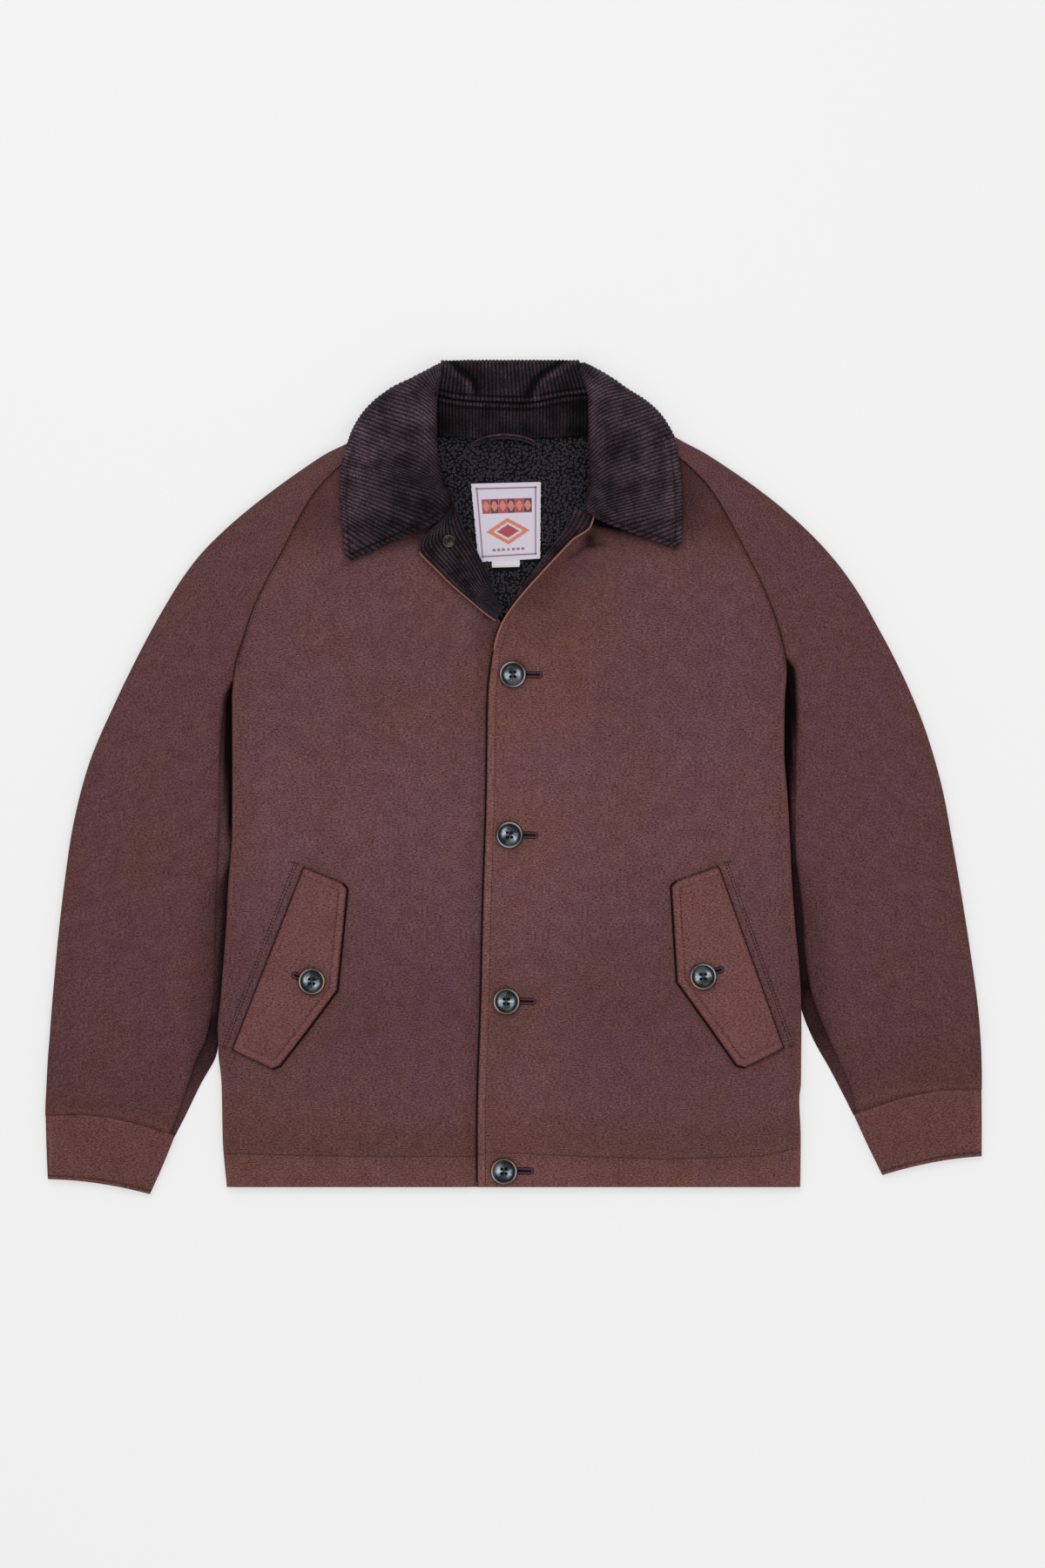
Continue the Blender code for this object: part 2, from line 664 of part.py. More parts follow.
def make_under_sleeve(side, canvas):
    """Lower half of a raglan sleeve: flat where it rests, and wider than the upper half."""
    sections = []
    for row in sleeve_rows(side):
        reach = (row["under"] - row["outer"]).length
        raglan = row["raglan"]
        outer_rim = edge(width=min(9, 0.4 * reach), height=SLEEVE_SEAM_Z - 0.5 * SEAM,
                         fold=1.0, steps=2)
        lift = floor_lift(row["under"].x, row["under"].y)
        inner_rim = edge(width=3.0, height=lift + 0.4, steps=1)
        wall_here = lerp(3.6, SHELL, raglan)

        def thickness(inside, wall_here=wall_here):
            return lerp(2.4, wall_here, inside)

        outer, inner = section(row["outer"], row["under"], outer_rim, inner_rim, floor_lift, 4,
                               thickness, bow=row["bow"], up=-1.0)
        inner[-1].z = outer[-1].z + 1.5
        sections.append((outer, inner))
    return loft("sleeve_under_" + side_name(side), sections, canvas)


def make_cuff(side, canvas):
    """A cuff is a flattened ring: one strip folded round the sleeve's end."""
    table = LEFT_CUFF if side > 0 else RIGHT_CUFF
    around = 20
    rings = []
    for k in range(4):
        ox, oy, ix, iy, bow, height = along(table, k / 3)
        outside, inside = [], []
        start, end = Vector((ox, oy)), Vector((ix, iy))
        run = (end - start).normalized()
        half = 0.5 * (end - start).length
        middle = 0.5 * (start + end)
        for n in range(around):
            turn = 2 * math.pi * n / around
            for ring, inset in ((outside, 0.0), (inside, CUFF_WALL)):
                x = math.copysign(abs(math.cos(turn)) ** 0.55, math.cos(turn)) * (half - inset)
                z = math.copysign(abs(math.sin(turn)) ** 0.45, math.sin(turn))
                z *= 0.5 * height - inset
                place = middle + run * x
                bend = bow * (1 - (x / half) ** 2)
                ring.append(Vector((place.x, place.y + bend, z + 0.5 * height)))
        rings.append((outside, inside))
    mesh = bmesh.new()
    skins = [[[mesh.verts.new(p * MM) for p in ring[which]] for ring in rings] for which in (0, 1)]
    for skin in skins:
        for a, b in zip(skin, skin[1:]):
            for n in range(around):
                m = (n + 1) % around
                mesh.faces.new((a[n], a[m], b[m], b[n]))
    for end in (0, -1):
        out, into = skins[0][end], skins[1][end]
        for n in range(around):
            m = (n + 1) % around
            mesh.faces.new((out[n], out[m], into[m], into[n]))
    return finished("cuff_" + side_name(side), mesh, canvas)


# --- collar and neck ---------------------------------------------------------------------

def leaf_rows(side, count):
    table = LEFT_LEAF if side > 0 else RIGHT_LEAF
    return [along(table, k / (count - 1)) for k in range(count)]


def cloth_below(x, y):
    """Level that clears the highest cloth under the collar at a point."""
    side = 1 if x > -10 else -1
    if abs(x) > abs(body_edge(y, side)) - 2:
        return 14.2
    return max(front_height(x, y), 13.4) + 1.2


def leaf_section(row, spans, thickness, top, rise=0.0):
    """Section of a collar leaf along a wale; top is the leaf's full depth over the cloth."""
    ox, oy, ix, iy, edge_z, roll, crest = row
    roll = min(max(roll, 0.0), 1.0)
    reach = math.hypot(ox - ix, oy - iy)
    on_cloth = cloth_below(ox, oy) + top
    folded = ease((on_cloth - 1 - edge_z) / 6)
    inner_z = lerp(cloth_below(ix, iy) + top, crest, ease(roll))

    def level(x, y):
        u = math.hypot(x - ox, y - oy) / reach
        return max(lerp(on_cloth, inner_z, u ** 1.4), cloth_below(x, y) + top)

    outer_width = lerp(min(1.2, 0.2 * reach), min(13, 0.45 * reach), folded)
    outer_rim = edge(width=outer_width, steps=1, fold=folded,
                     height=lerp(on_cloth - 0.5, edge_z, folded))
    inner_width = lerp(min(1.2, 0.2 * reach), min(6, 0.4 * reach), roll)
    inner_rim = edge(width=inner_width, steps=2, fold=roll, height=inner_z - lerp(0.5, 5, roll))
    return section((ox, oy), (ix, iy), outer_rim, inner_rim, level, spans,
                   lambda inside: thickness, rise=rise)


def make_leaf(side, corduroy, canvas):
    """Collar leaf: ribbed corduroy on top, plain under-collar below it."""
    name = side_name(side)
    top = UNDER_COLLAR + 3 * SEAM + CORD_CLOTH
    outer = []
    for k, row in enumerate(leaf_rows(side, 2 * LEAF_WALES + 1)):
        rise = WALE_RISE if k % 2 else -WALE_RISE
        outer.append(leaf_section(row, 2, CORD_CLOTH, top, rise)[0])
    inner = [leaf_section(row, 2, CORD_CLOTH - 0.2, top)[1]
             for row in leaf_rows(side, LEAF_WALES // 2 + 1)]
    wall("collar_leaf_" + name, outer, inner, corduroy)
    below = []
    for row in leaf_rows(side, 21)[9:]:
        face = leaf_section(row, 2, CORD_CLOTH + 3 * SEAM, top)[1]
        reverse = leaf_section(row, 2, CORD_CLOTH + 3 * SEAM + UNDER_COLLAR, top)[1]
        below.append((face, reverse))
    loft("under_collar_" + name, below, canvas)


def make_back_fall(corduroy):
    """Stretch of the collar that is folded under the back neck; it lies on the surface."""
    outer, inner = [], []
    for k in range(21):
        x = lerp(BACK_FALL[0][0], BACK_FALL[-1][0], k / 20)
        fold_y, free_y = read(BACK_FALL, x, 1), read(BACK_FALL, x, 2)
        rim = edge(width=2.0, height=1.2, steps=1)
        low, high = section((x, fold_y), (x, free_y), rim, edge(), lambda px, py: 0.0, 2,
                            lambda inside: lerp(FALL - 1.2, FALL, inside), up=-1.0)
        outer.append(low)
        inner.append(high)
    return wall("collar_fall_back", outer, inner, corduroy)


def make_back_stand(corduroy):
    """Inner face of the stand at the back neck, rolled over at the top to the hidden fall."""
    wales = 38
    left, right = 60.5, -63.5

    def strip(k, count, rise):
        x = lerp(right, left, k / count)
        seam_y = read(NECK_SEAM, x, 1) + 0.4
        top_y = STAND_TOP_Y - 0.6 * (abs(x) / 60) ** 3
        rim = edge(width=9, height=FALL + SEAM, fold=1.0, steps=2)

        def level(px, py):
            return lerp(13.6, 11.0, ease((py - seam_y) / 26))

        return section((x, top_y), (x, seam_y), rim, edge(), level, 2,
                       lambda inside: STAND_WALL, rise=rise)

    outer = [strip(k, 2 * wales, WALE_RISE if k % 2 else -WALE_RISE)[0]
             for k in range(2 * wales + 1)]
    inner = [strip(k, wales // 2, 0.0)[1] for k in range(wales // 2 + 1)]
    return wall("collar_stand_back", outer, inner, corduroy)


def make_side_stand(side, corduroy):
    """Stand along the side of the neck, hidden under the roll of the leaf."""
    outer, inner = [], []
    for row in leaf_rows(side, 41)[9:22:2]:
        ox, oy, ix, iy, _, roll, crest = row
        run = Vector((ox - ix, oy - iy)).normalized()
        foot = 13.2
        face, back = [], []
        for level, lean in ((foot, 2.0), (crest - 5 - 3 * SEAM, 0.6)):
            face.append(Vector((ix + run.x * lean, iy + run.y * lean, level)))
            back.append(Vector((ix + run.x * (lean + 2.2), iy + run.y * (lean + 2.2), level)))
        outer.append(face)
        inner.append(back)
    return wall("collar_stand_" + side_name(side), outer, inner, corduroy)


def lining_height(x, y):
    return SHELL + SEAM + PILE_LINING + 1.2


def make_neck_facing(corduroy):
    """Back neck facing, its wales running down from the stand's seam."""
    wales = 36
    left, right = 62.0, -65.0

    def strip(k, count, rise):
        x = lerp(right, left, k / count)
        low_y, seam_y = read(NECK_SEAM, x, 2), read(NECK_SEAM, x, 1) - 0.4

        def level(px, py):
            return lining_height(px, py) + SEAM + CORD_CLOTH

        return section((x, low_y), (x, min(seam_y, 338)), edge(), edge(), level, 2,
                       lambda inside: CORD_CLOTH - 0.1, rise=rise)

    outer = [strip(k, 2 * wales, WALE_RISE if k % 2 else -WALE_RISE)[0]
             for k in range(2 * wales + 1)]
    inner = [strip(k, wales // 2, 0.0)[1] for k in range(wales // 2 + 1)]
    return wall("neck_facing", outer, inner, corduroy)


def make_lapel(corduroy):
    """Top of the right front, turned back so that its corduroy facing shows."""
    count = 2 * LAPEL_WALES

    def strip(t, rises):
        fx, fy, ex, ey = along(LAPEL, t)
        rim = edge(width=3.0, height=14.2, fold=1.0, steps=1)

        def level(px, py):
            near = math.hypot(px - ex, py - ey) / math.hypot(fx - ex, fy - ey)
            return max(front_height(px, py), 15.0) + 0.6 + CORD_CLOTH + 1.6 * ease(near)

        outer, inner = section((fx, fy), (ex, ey), rim, edge(), level, count,
                               lambda inside: CORD_CLOTH)
        for n, point in enumerate(outer):
            if rises and 1 < n < len(outer) - 1:
                point.z += WALE_RISE if n % 2 else -WALE_RISE
        return outer, inner

    return loft("lapel_facing_right", [strip(k / 8, True) for k in range(9)], corduroy)


def make_left_facing(corduroy):
    """Sliver of facing inside the left front's neck edge."""
    sections = []
    for k in range(10):
        sx, sy, tx, ty = along(LEFT_FACING, k / 9)

        def level(px, py):
            shown = math.hypot(px - tx, py - ty) / math.hypot(sx - tx, sy - ty)
            return lerp(13.3, 14.9, ease(shown))

        sections.append(section((sx, sy), (tx, ty), edge(), edge(), level, 3,
                                lambda inside: CORD_CLOTH - 0.4))
    return loft("front_facing_left", sections, corduroy)


def make_loop(corduroy):
    """Hanger loop: a strip arched over the facing's lower edge, its ends sewn down."""
    outer, inner = [], []
    base = lining_height(0, 0) + SEAM + CORD_CLOTH + WALE_RISE + SEAM
    for k in range(11):
        t = k / 10
        x = LOOP["x"] + LOOP["width"] * (t - 0.5)
        y = LOOP["y"] + LOOP["rise"] * math.sin(math.pi * t) ** 0.6
        z = base + 1.4 + 0.8 * math.sin(math.pi * t)
        outer.append([Vector((x, y + 0.5 * LOOP["band"], z)), Vector((x, y, z + 0.5)),
                      Vector((x, y - 0.5 * LOOP["band"], z))])
        inner.append([Vector((x, y + 0.5 * LOOP["band"], z - 1.3)), Vector((x, y, z - 1.2)),
                      Vector((x, y - 0.5 * LOOP["band"], z - 1.3))])
    return wall("hanger_loop", outer, inner, corduroy)


def make_patch(name, patch, thickness, finish):
    """A small woven label lying on the pile."""
    turn = Matrix.Rotation(math.radians(patch["tilt"]), 3, "Z")
    outer, inner = [], []
    for i in range(3):
        row_out, row_in = [], []
        for j in range(3):
            local = Vector((patch["width"] * (j / 2 - 0.5), patch["length"] * (i / 2 - 0.5), 0))
            place = turn @ local + Vector((patch["x"], patch["y"], 0))
            z = lining_height(place.x, place.y) + SEAM
            row_out.append(Vector((place.x, place.y, z + thickness)))
            row_in.append(Vector((place.x, place.y, z)))
        outer.append(row_out)
        inner.append(row_in)
    return wall(name, outer, inner, finish)


# --- pockets and buttons -----------------------------------------------------------------

def flap_height(x, y):
    return front_height(x, y) + SEAM + 0.3 + FLAP_WALL


def make_flap(side, canvas):
    """Pocket flap, sewn along its slanted edge and buttoned down."""
    table = LEFT_FLAP if side > 0 else RIGHT_FLAP
    sections = []
    for k in range(13):
        sx, sy, fx, fy = along(table, k / 12)
        rim = edge(width=1.2, steps=1, height=flap_height(fx, fy) - 0.7)
        sections.append(section((sx, sy), (fx, fy), edge(), rim, flap_height, 4,
                                lambda inside: lerp(FLAP_WALL - 0.7, FLAP_WALL, inside)))
    return loft("pocket_flap_" + side_name(side), sections, canvas)


def make_button(name, x, y, diameter, horn):
    """Turned horn button: a raised rim round a shallow dish."""
    scale = diameter / BUTTON_DIAMETER
    radius = 0.5 * diameter
    thick = BUTTON_THICKNESS * lerp(1.0, scale, 0.8)
    # columns: radius as a share of the button's, height as a share of its thickness
    profile = ((0.0, 0.0), (0.62, 0.0), (0.95, 0.34), (1.0, 0.68), (0.88, 1.0), (0.70, 0.66),
               (0.0, 0.56))
    sides = 16 if diameter > 20 else 12
    mesh = bmesh.new()
    rings = [[mesh.verts.new((radius * share * math.cos(2 * math.pi * n / sides),
                              radius * share * math.sin(2 * math.pi * n / sides),
                              thick * height)) for n in range(sides)]
             for share, height in profile[1:-1]]
    low = mesh.verts.new((0, 0, 0))
    high = mesh.verts.new((0, 0, thick * profile[-1][1]))
    for a, b in zip(rings, rings[1:]):
        for n in range(sides):
            m = (n + 1) % sides
            mesh.faces.new((a[n], a[m], b[m], b[n]))
    for n in range(sides):
        m = (n + 1) % sides
        mesh.faces.new((low, rings[0][m], rings[0][n]))
        mesh.faces.new((high, rings[-1][n], rings[-1][m]))

    def seat(px, py):
        if name.startswith("pocket"):
            return flap_height(px, py)
        if name.startswith("lapel"):
            return LAPEL_FACE_Z
        return front_height(px, py)

    reach = 0.62 * radius
    slope_x = (seat(x + reach, y) - seat(x - reach, y)) / (2 * reach)
    slope_y = (seat(x, y + reach) - seat(x, y - reach)) / (2 * reach)
    normal = Vector((-slope_x, -slope_y, 1.0)).normalized()
    turn = Vector((0, 0, 1)).rotation_difference(normal).to_matrix().to_4x4()
    place = Vector((x, y, seat(x, y) + SEAM + 0.25))
    mesh.transform(Matrix.Scale(MM, 4) @ Matrix.Translation(place) @ turn)
    return finished(name, mesh, horn)


def main():
    for old in list(bpy.data.objects):
        bpy.data.objects.remove(old)
    canvas = material("waxed_cotton_canvas", (0.115, 0.052, 0.055), 0.55)
    cuff_canvas = material("waxed_cotton_canvas_trim", (0.14, 0.062, 0.052), 0.55)
    corduroy = material("dark_corduroy", (0.018, 0.013, 0.016), 0.9)
    pile = material("black_pile_lining", (0.012, 0.012, 0.014), 0.95)
    label = material("woven_label", (0.60, 0.52, 0.62), 0.7)
    horn = material("dark_horn", (0.012, 0.014, 0.02), 0.25)
    make_back(canvas)
    make_back_lining(pile)
    for side in (-1, 1):
        make_front(side, canvas)
        make_sleeve(side, canvas)
        make_under_sleeve(side, canvas)
        make_cuff(side, cuff_canvas)
        make_leaf(side, corduroy, canvas)
        make_side_stand(side, corduroy)
        make_flap(side, cuff_canvas)
    make_back_fall(corduroy)
    make_back_stand(corduroy)
    make_neck_facing(corduroy)
    make_lapel(corduroy)
    make_left_facing(corduroy)
    make_loop(corduroy)
    make_patch("neck_label", LABEL, 0.7, label)
    make_patch("size_tab", SIZE_TAB, 0.7, label)
    for name, x, y, diameter in BUTTONS:
        make_button(name, x, y, diameter, horn)


main()
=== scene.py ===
"""A waxed cotton jacket with a corduroy collar, laid flat on its back, its front buttoned.

+X is the wearer's left, +Y runs from the hem to the collar and +Z is up.  Sizes are in
millimetres until a mesh is made.
"""

import math

import bmesh
import bpy
import numpy as np
from mathutils import Matrix, Vector


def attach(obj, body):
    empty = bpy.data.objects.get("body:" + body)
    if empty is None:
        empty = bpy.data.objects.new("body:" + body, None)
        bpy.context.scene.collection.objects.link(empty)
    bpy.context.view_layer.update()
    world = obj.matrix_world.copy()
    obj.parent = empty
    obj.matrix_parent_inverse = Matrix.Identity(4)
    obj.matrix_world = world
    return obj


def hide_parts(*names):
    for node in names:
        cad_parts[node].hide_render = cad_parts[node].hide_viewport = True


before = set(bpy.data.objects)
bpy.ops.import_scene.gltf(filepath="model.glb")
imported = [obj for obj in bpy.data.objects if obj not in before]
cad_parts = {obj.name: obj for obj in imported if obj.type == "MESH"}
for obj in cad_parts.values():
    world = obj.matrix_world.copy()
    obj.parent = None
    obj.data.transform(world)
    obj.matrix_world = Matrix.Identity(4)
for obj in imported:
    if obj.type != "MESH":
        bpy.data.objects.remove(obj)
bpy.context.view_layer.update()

# --- Studio --------------------------------------------------------------------------------
# The jacket lies on a pale seamless floor.  A wide soft light hangs over its collar end, a
# fainter one over its hem, and the camera looks straight down at it through a long lens.

scene = bpy.context.scene
scene.view_settings.view_transform = "Standard"


def placed(name, data):
    """An object at the origin that shows this data."""
    made = bpy.data.objects.new(name, data)
    scene.collection.objects.link(made)
    return made


view_high = 1.44
view_distance = 6.0
camera = placed("camera", bpy.data.cameras.new("camera"))
camera.data.lens = camera.data.sensor_width * view_distance / view_high
camera.data.clip_end = 50.0
camera.location = (0.0084, -0.0068, view_distance)
scene.camera = camera


def linear(colour):
    """An sRGB hex value as linear red, green, blue and alpha."""
    channels = [int(colour[i:i + 2], 16) / 255 for i in (1, 3, 5)]
    return (*[c / 12.92 if c <= 0.04045 else ((c + 0.055) / 1.055) ** 2.4 for c in channels], 1.0)


def new_material(name, colour, roughness, specular=0.3, sheen=0.0):
    """A material with the values that are the same all over its surface."""
    material = bpy.data.materials.new(name)
    material.use_nodes = True
    material.diffuse_color = linear(colour)
    shader = material.node_tree.nodes["Principled BSDF"]
    shader.inputs["Base Color"].default_value = linear(colour)
    shader.inputs["Roughness"].default_value = roughness
    shader.inputs["Specular IOR Level"].default_value = specular
    shader.inputs["Sheen Weight"].default_value = sheen
    return material, material.node_tree, shader


scene.world = bpy.data.worlds.new("studio")
scene.world.use_nodes = True
sky = scene.world.node_tree.nodes["Background"].inputs
sky["Color"].default_value = (1.0, 1.0, 1.0, 1.0)
sky["Strength"].default_value = 0.62

for name, place, size, power in (("collar_light", (-0.5, 1.5, 2.6), 2.2, 31.0),
                                 ("hem_light", (0.9, -1.5, 2.8), 1.8, 18.5)):
    light = placed(name, bpy.data.lights.new(name, "AREA"))
    light.data.shape = "DISK"
    light.data.size = size
    light.data.energy = power
    light.location = place
    light.rotation_mode = "QUATERNION"
    light.rotation_quaternion = (-light.location).to_track_quat("-Z", "Y")

# A white table lit from below, which is why the jacket throws only a faint shadow on it
floor_paper, tree, shader = new_material("white_table_lit_from_below", "#A0A0A0", 0.9, 0.1)
shader.inputs["Emission Color"].default_value = (0.53, 0.53, 0.53, 1.0)
shader.inputs["Emission Strength"].default_value = 1.0
floor_half, floor_drop = 6, 0.0004
floor = placed("floor", bpy.data.meshes.new("floor"))
floor.data.from_pydata([(x * floor_half, y * floor_half, -floor_drop)
                        for x, y in ((-1, -1), (1, -1), (1, 1), (-1, 1))], [], [(0, 1, 2, 3)])
floor.data.materials.append(floor_paper)

# --- Fronts --------------------------------------------------------------------------------
# Two fronts of waxed cotton, the left one lapped over the right by 40 mm and buttoned.  Their
# placket, neck and hem edges are turned in and topstitched, and the outer edges are sewn to
# the back and to the raglan sleeves.

MM = 0.001
both_sides = ((-1, "right"), (1, "left"))
lap = 3.0
panel_wall = 2.0
placket_stitch = 7.2
stitch_groove = 2.4
hem_y = -376.6
armpit_y = 98.0

# columns: y, x of the edge on the wearer's right, x on the wearer's left
body_outline = np.array((
    (-377, -263.0, 263.4), (-331, -266.8, 263.8), (-296, -267.4, 262.4), (-281, -267.8, 264.0),
    (-252, -270.8, 264.2), (-230, -271.4, 264.4), (-209, -269.2, 264.2), (-170, -266.0, 262.0),
    (-138, -263.6, 258.8), (-97, -261.5, 255.8), (-56, -258.3, 253.8), (-20, -258.0, 251.8),
    (25, -258.0, 248.6), (70, -258.2, 249.2), (98, -255.8, 251.0), (126, -247.6, 246.2),
    (153, -238.8, 237.6), (180, -226.0, 226.2), (207, -211.6, 212.6), (236, -197.0, 197.6),
    (262, -181.0, 182.0), (286, -157.2, 159.5), (312, -120.0, 125.0), (337, -96.0, 102.0)))
# columns: y, x of the left front's centre edge, x of the right front's
centre_edges = np.array((
    (-377, -32.8, 8.0), (-319, -32.8, 8.0), (-207, -29.6, 11.0), (-101, -27.1, 13.0),
    (-23, -24.6, 15.0), (72, -23.2, 15.0), (104, -20.0, 12.0), (127, -15.2, 2.0),
    (141, -10.0, -11.0), (161, 3.6, -22.5), (185, 24.4, -30.0), (207, 45.0, -40.5),
    (217, 54.6, -46.0), (229, 70.8, -52.5), (256, 77.0, -66.0), (286, 79.0, -75.0),
    (312, 80.0, -78.0), (337, 83.0, -82.0)))
# columns: y, height of the crown, height at the outer edge, width over which that edge rounds
front_heights = np.array((
    (-377, 8.6, 5.0, 14), (-362, 9.6, 5.4, 18), (-335, 13.6, 6.6, 24), (-300, 16.2, 7.3, 30),
    (-230, 17.2, 7.3, 34), (-60, 17.6, 7.3, 34), (40, 17.4, 7.3, 34), (98, 17.0, 8.2, 38),
    (150, 17.0, 11.0, 50), (207, 16.6, 12.6, 60), (286, 15.6, 13.0, 50), (337, 14.4, 13.0, 20)))
# Creases as soft troughs and ridges: x, y of one end; x, y of the other; width; depth
creases = (
    (-262, -196, -236, -262, 16, -1.6), (-285, -215, -345, -196, 22, -1.8),
    (-288, -150, -330, -128, 24, -1.2), (268, -196, 325, -182, 22, -1.8),
    (262, -120, 310, -100, 24, -1.2), (-250, 95, -292, 150, 26, -1.6),
    (246, 112, 286, 160, 26, -1.6), (-240, 60, -205, 20, 26, -1.2), (236, 66, 204, 24, 26, -1.2),
    (-395, -270, -350, -296, 18, -1.0), (395, -244, 352, -270, 18, -1.0),
    (-60, -60, -45, -210, 34, 0.7), (60, -90, 70, -250, 40, 0.7),
    # finer ones that the cloth shows on top of those
    (-220, 150, -150, 110, 18, -0.5), (218, 150, 150, 116, 18, -0.5),
    (-130, 215, -60, 160, 22, -0.5), (60, 210, 105, 224, 14, -0.9), (70, 190, 150, 170, 24, 0.4),
    (-424, -303, -410, -296, 5, -0.7), (-424, -292, -404, -284, 7, -0.6),
    (404, -262, 424, -268, 7, -0.6), (50, 198, 66, 210.5, 6, -1.2),
    (66, 210.5, 84, 212.5, 6, -1.2), (56, 193, 72, 205, 9, 0.7),
    (-20, 118, 20, 96, 9, -0.5), (-18, 84, 30, 62, 10, -0.35), (-150, -290, -60, -310, 26, -0.5),
    (50, -312, 190, -296, 24, -0.5), (-335, 60, -300, 10, 24, -0.6), (345, 70, 300, 18, 24, -0.6),
    (-400, -60, -340, -90, 26, -0.7), (398, -50, 340, -84, 26, -0.7),
    (-300, 175, -255, 205, 26, -0.8), (300, 180, 258, 206, 26, -0.8),
    (-405, -180, -320, -210, 22, -0.8), (408, -160, 330, -190, 22, -0.8))


def ease(t):
    """0 up to t = 0 and 1 from t = 1, on a smooth curve between."""
    t = np.clip(t, 0.0, 1.0)
    return t * t * (3.0 - 2.0 * t)


def lerp(a, b, t):
    """a at t = 0 and b at t = 1, on a straight line."""
    return a + (b - a) * t


def grid(x, y, z):
    """Points from three arrays that broadcast to one shape."""
    return np.stack(np.broadcast_arrays(x, y, z), -1)


def bell(distance, width):
    """1 on a line, fading to nothing about a width away from it."""
    return np.exp(-(distance / (0.5 * width)) ** 2)


def rounding(distance, width):
    """0 at a rounded edge, 1 from its width inwards, on a quarter ellipse."""
    return np.sqrt(1.0 - (1.0 - np.clip(distance / width, 0.0, 1.0)) ** 2)


def read(table, key, column):
    """A column of a table at values of its first column, on a curve that never overshoots."""
    known, value = table[:, 0], table[:, column]
    slope = np.diff(value) / np.diff(known)
    product = slope[:-1] * slope[1:]
    total = np.where(product > 0, slope[:-1] + slope[1:], 1.0)
    tangent = np.concatenate([slope[:1], np.where(product > 0, 2 * product / total, 0.0),
                              slope[-1:]])
    at = np.clip(np.searchsorted(known, key) - 1, 0, len(known) - 2)
    span = known[at + 1] - known[at]
    t = np.clip((key - known[at]) / span, 0.0, 1.0)
    return ((2 * t ** 3 - 3 * t ** 2 + 1) * value[at]
            + (t ** 3 - 2 * t ** 2 + t) * span * tangent[at]
            + (3 * t ** 2 - 2 * t ** 3) * value[at + 1]
            + (t ** 3 - t ** 2) * span * tangent[at + 1])


def unevenness(x, y, size, seed):
    """Gentle uneven relief between -1 and 1, its waves about this long."""
    chance = np.random.default_rng(seed)
    total = 0.0
    for _ in range(7):
        turn, phase = chance.uniform(0, 2 * math.pi, 2)
        wave = 2 * math.pi / (size * chance.uniform(0.7, 1.6))
        total = total + np.sin(wave * (x * math.cos(turn) + y * math.sin(turn)) + phase)
    return total / 4.0


def body_edge(y, side):
    """x of the body's outer edge at y."""
    return read(body_outline, y, 2 if side > 0 else 1)


def creased(x, y):
    """Height that the creases and the cloth's own unevenness add."""
    total = 0.36 * unevenness(x, y, 70, 5) + 0.20 * unevenness(x, y, 24, 9)
    for x0, y0, x1, y1, width, depth in creases:
        run = np.hypot(x1 - x0, y1 - y0)
        t = ((x - x0) * (x1 - x0) + (y - y0) * (y1 - y0)) / run ** 2
        away = np.hypot(x - x0 - t * (x1 - x0), y - y0 - t * (y1 - y0))
        total = total + depth * bell(away, width) * bell(
            np.maximum(np.abs(t - 0.5) - 0.35, 0.0), 0.44)
    return total


def front_height(x, y):
    """Height of the closed fronts' face."""
    edge_x = np.where(x > -10, body_edge(y, 1), -body_edge(y, -1))
    crown, edge, width = (read(front_heights, y, column) for column in (1, 2, 3))
    inside = rounding(edge_x - np.abs(x), width)
    return edge + (crown + creased(x, y) - edge) * inside


def unit(vectors):
    """The vectors at a length of 1."""
    return vectors / np.linalg.norm(vectors, axis=-1, keepdims=True)


def normals(sheet):
    """Unit normals of a sheet of points, on its upper side."""
    normal = np.cross(np.gradient(sheet, axis=1), np.gradient(sheet, axis=0))
    return unit(normal) * np.sign(normal[..., 2].sum())


def wall(outer, thickness):
    """The inner sheet of a cloth wall: the outer one moved in along its normals."""
    return outer - normals(outer) * thickness


def marked(mesh, **marks):
    """Each mark becomes an attribute of the mesh: a value for each point, or one for all."""
    for mark, values in marks.items():
        values = np.broadcast_to(values, len(mesh.vertices)).astype(np.float32)
        mesh.attributes.new(mark, "FLOAT", "POINT").data.foreach_set("value", values)


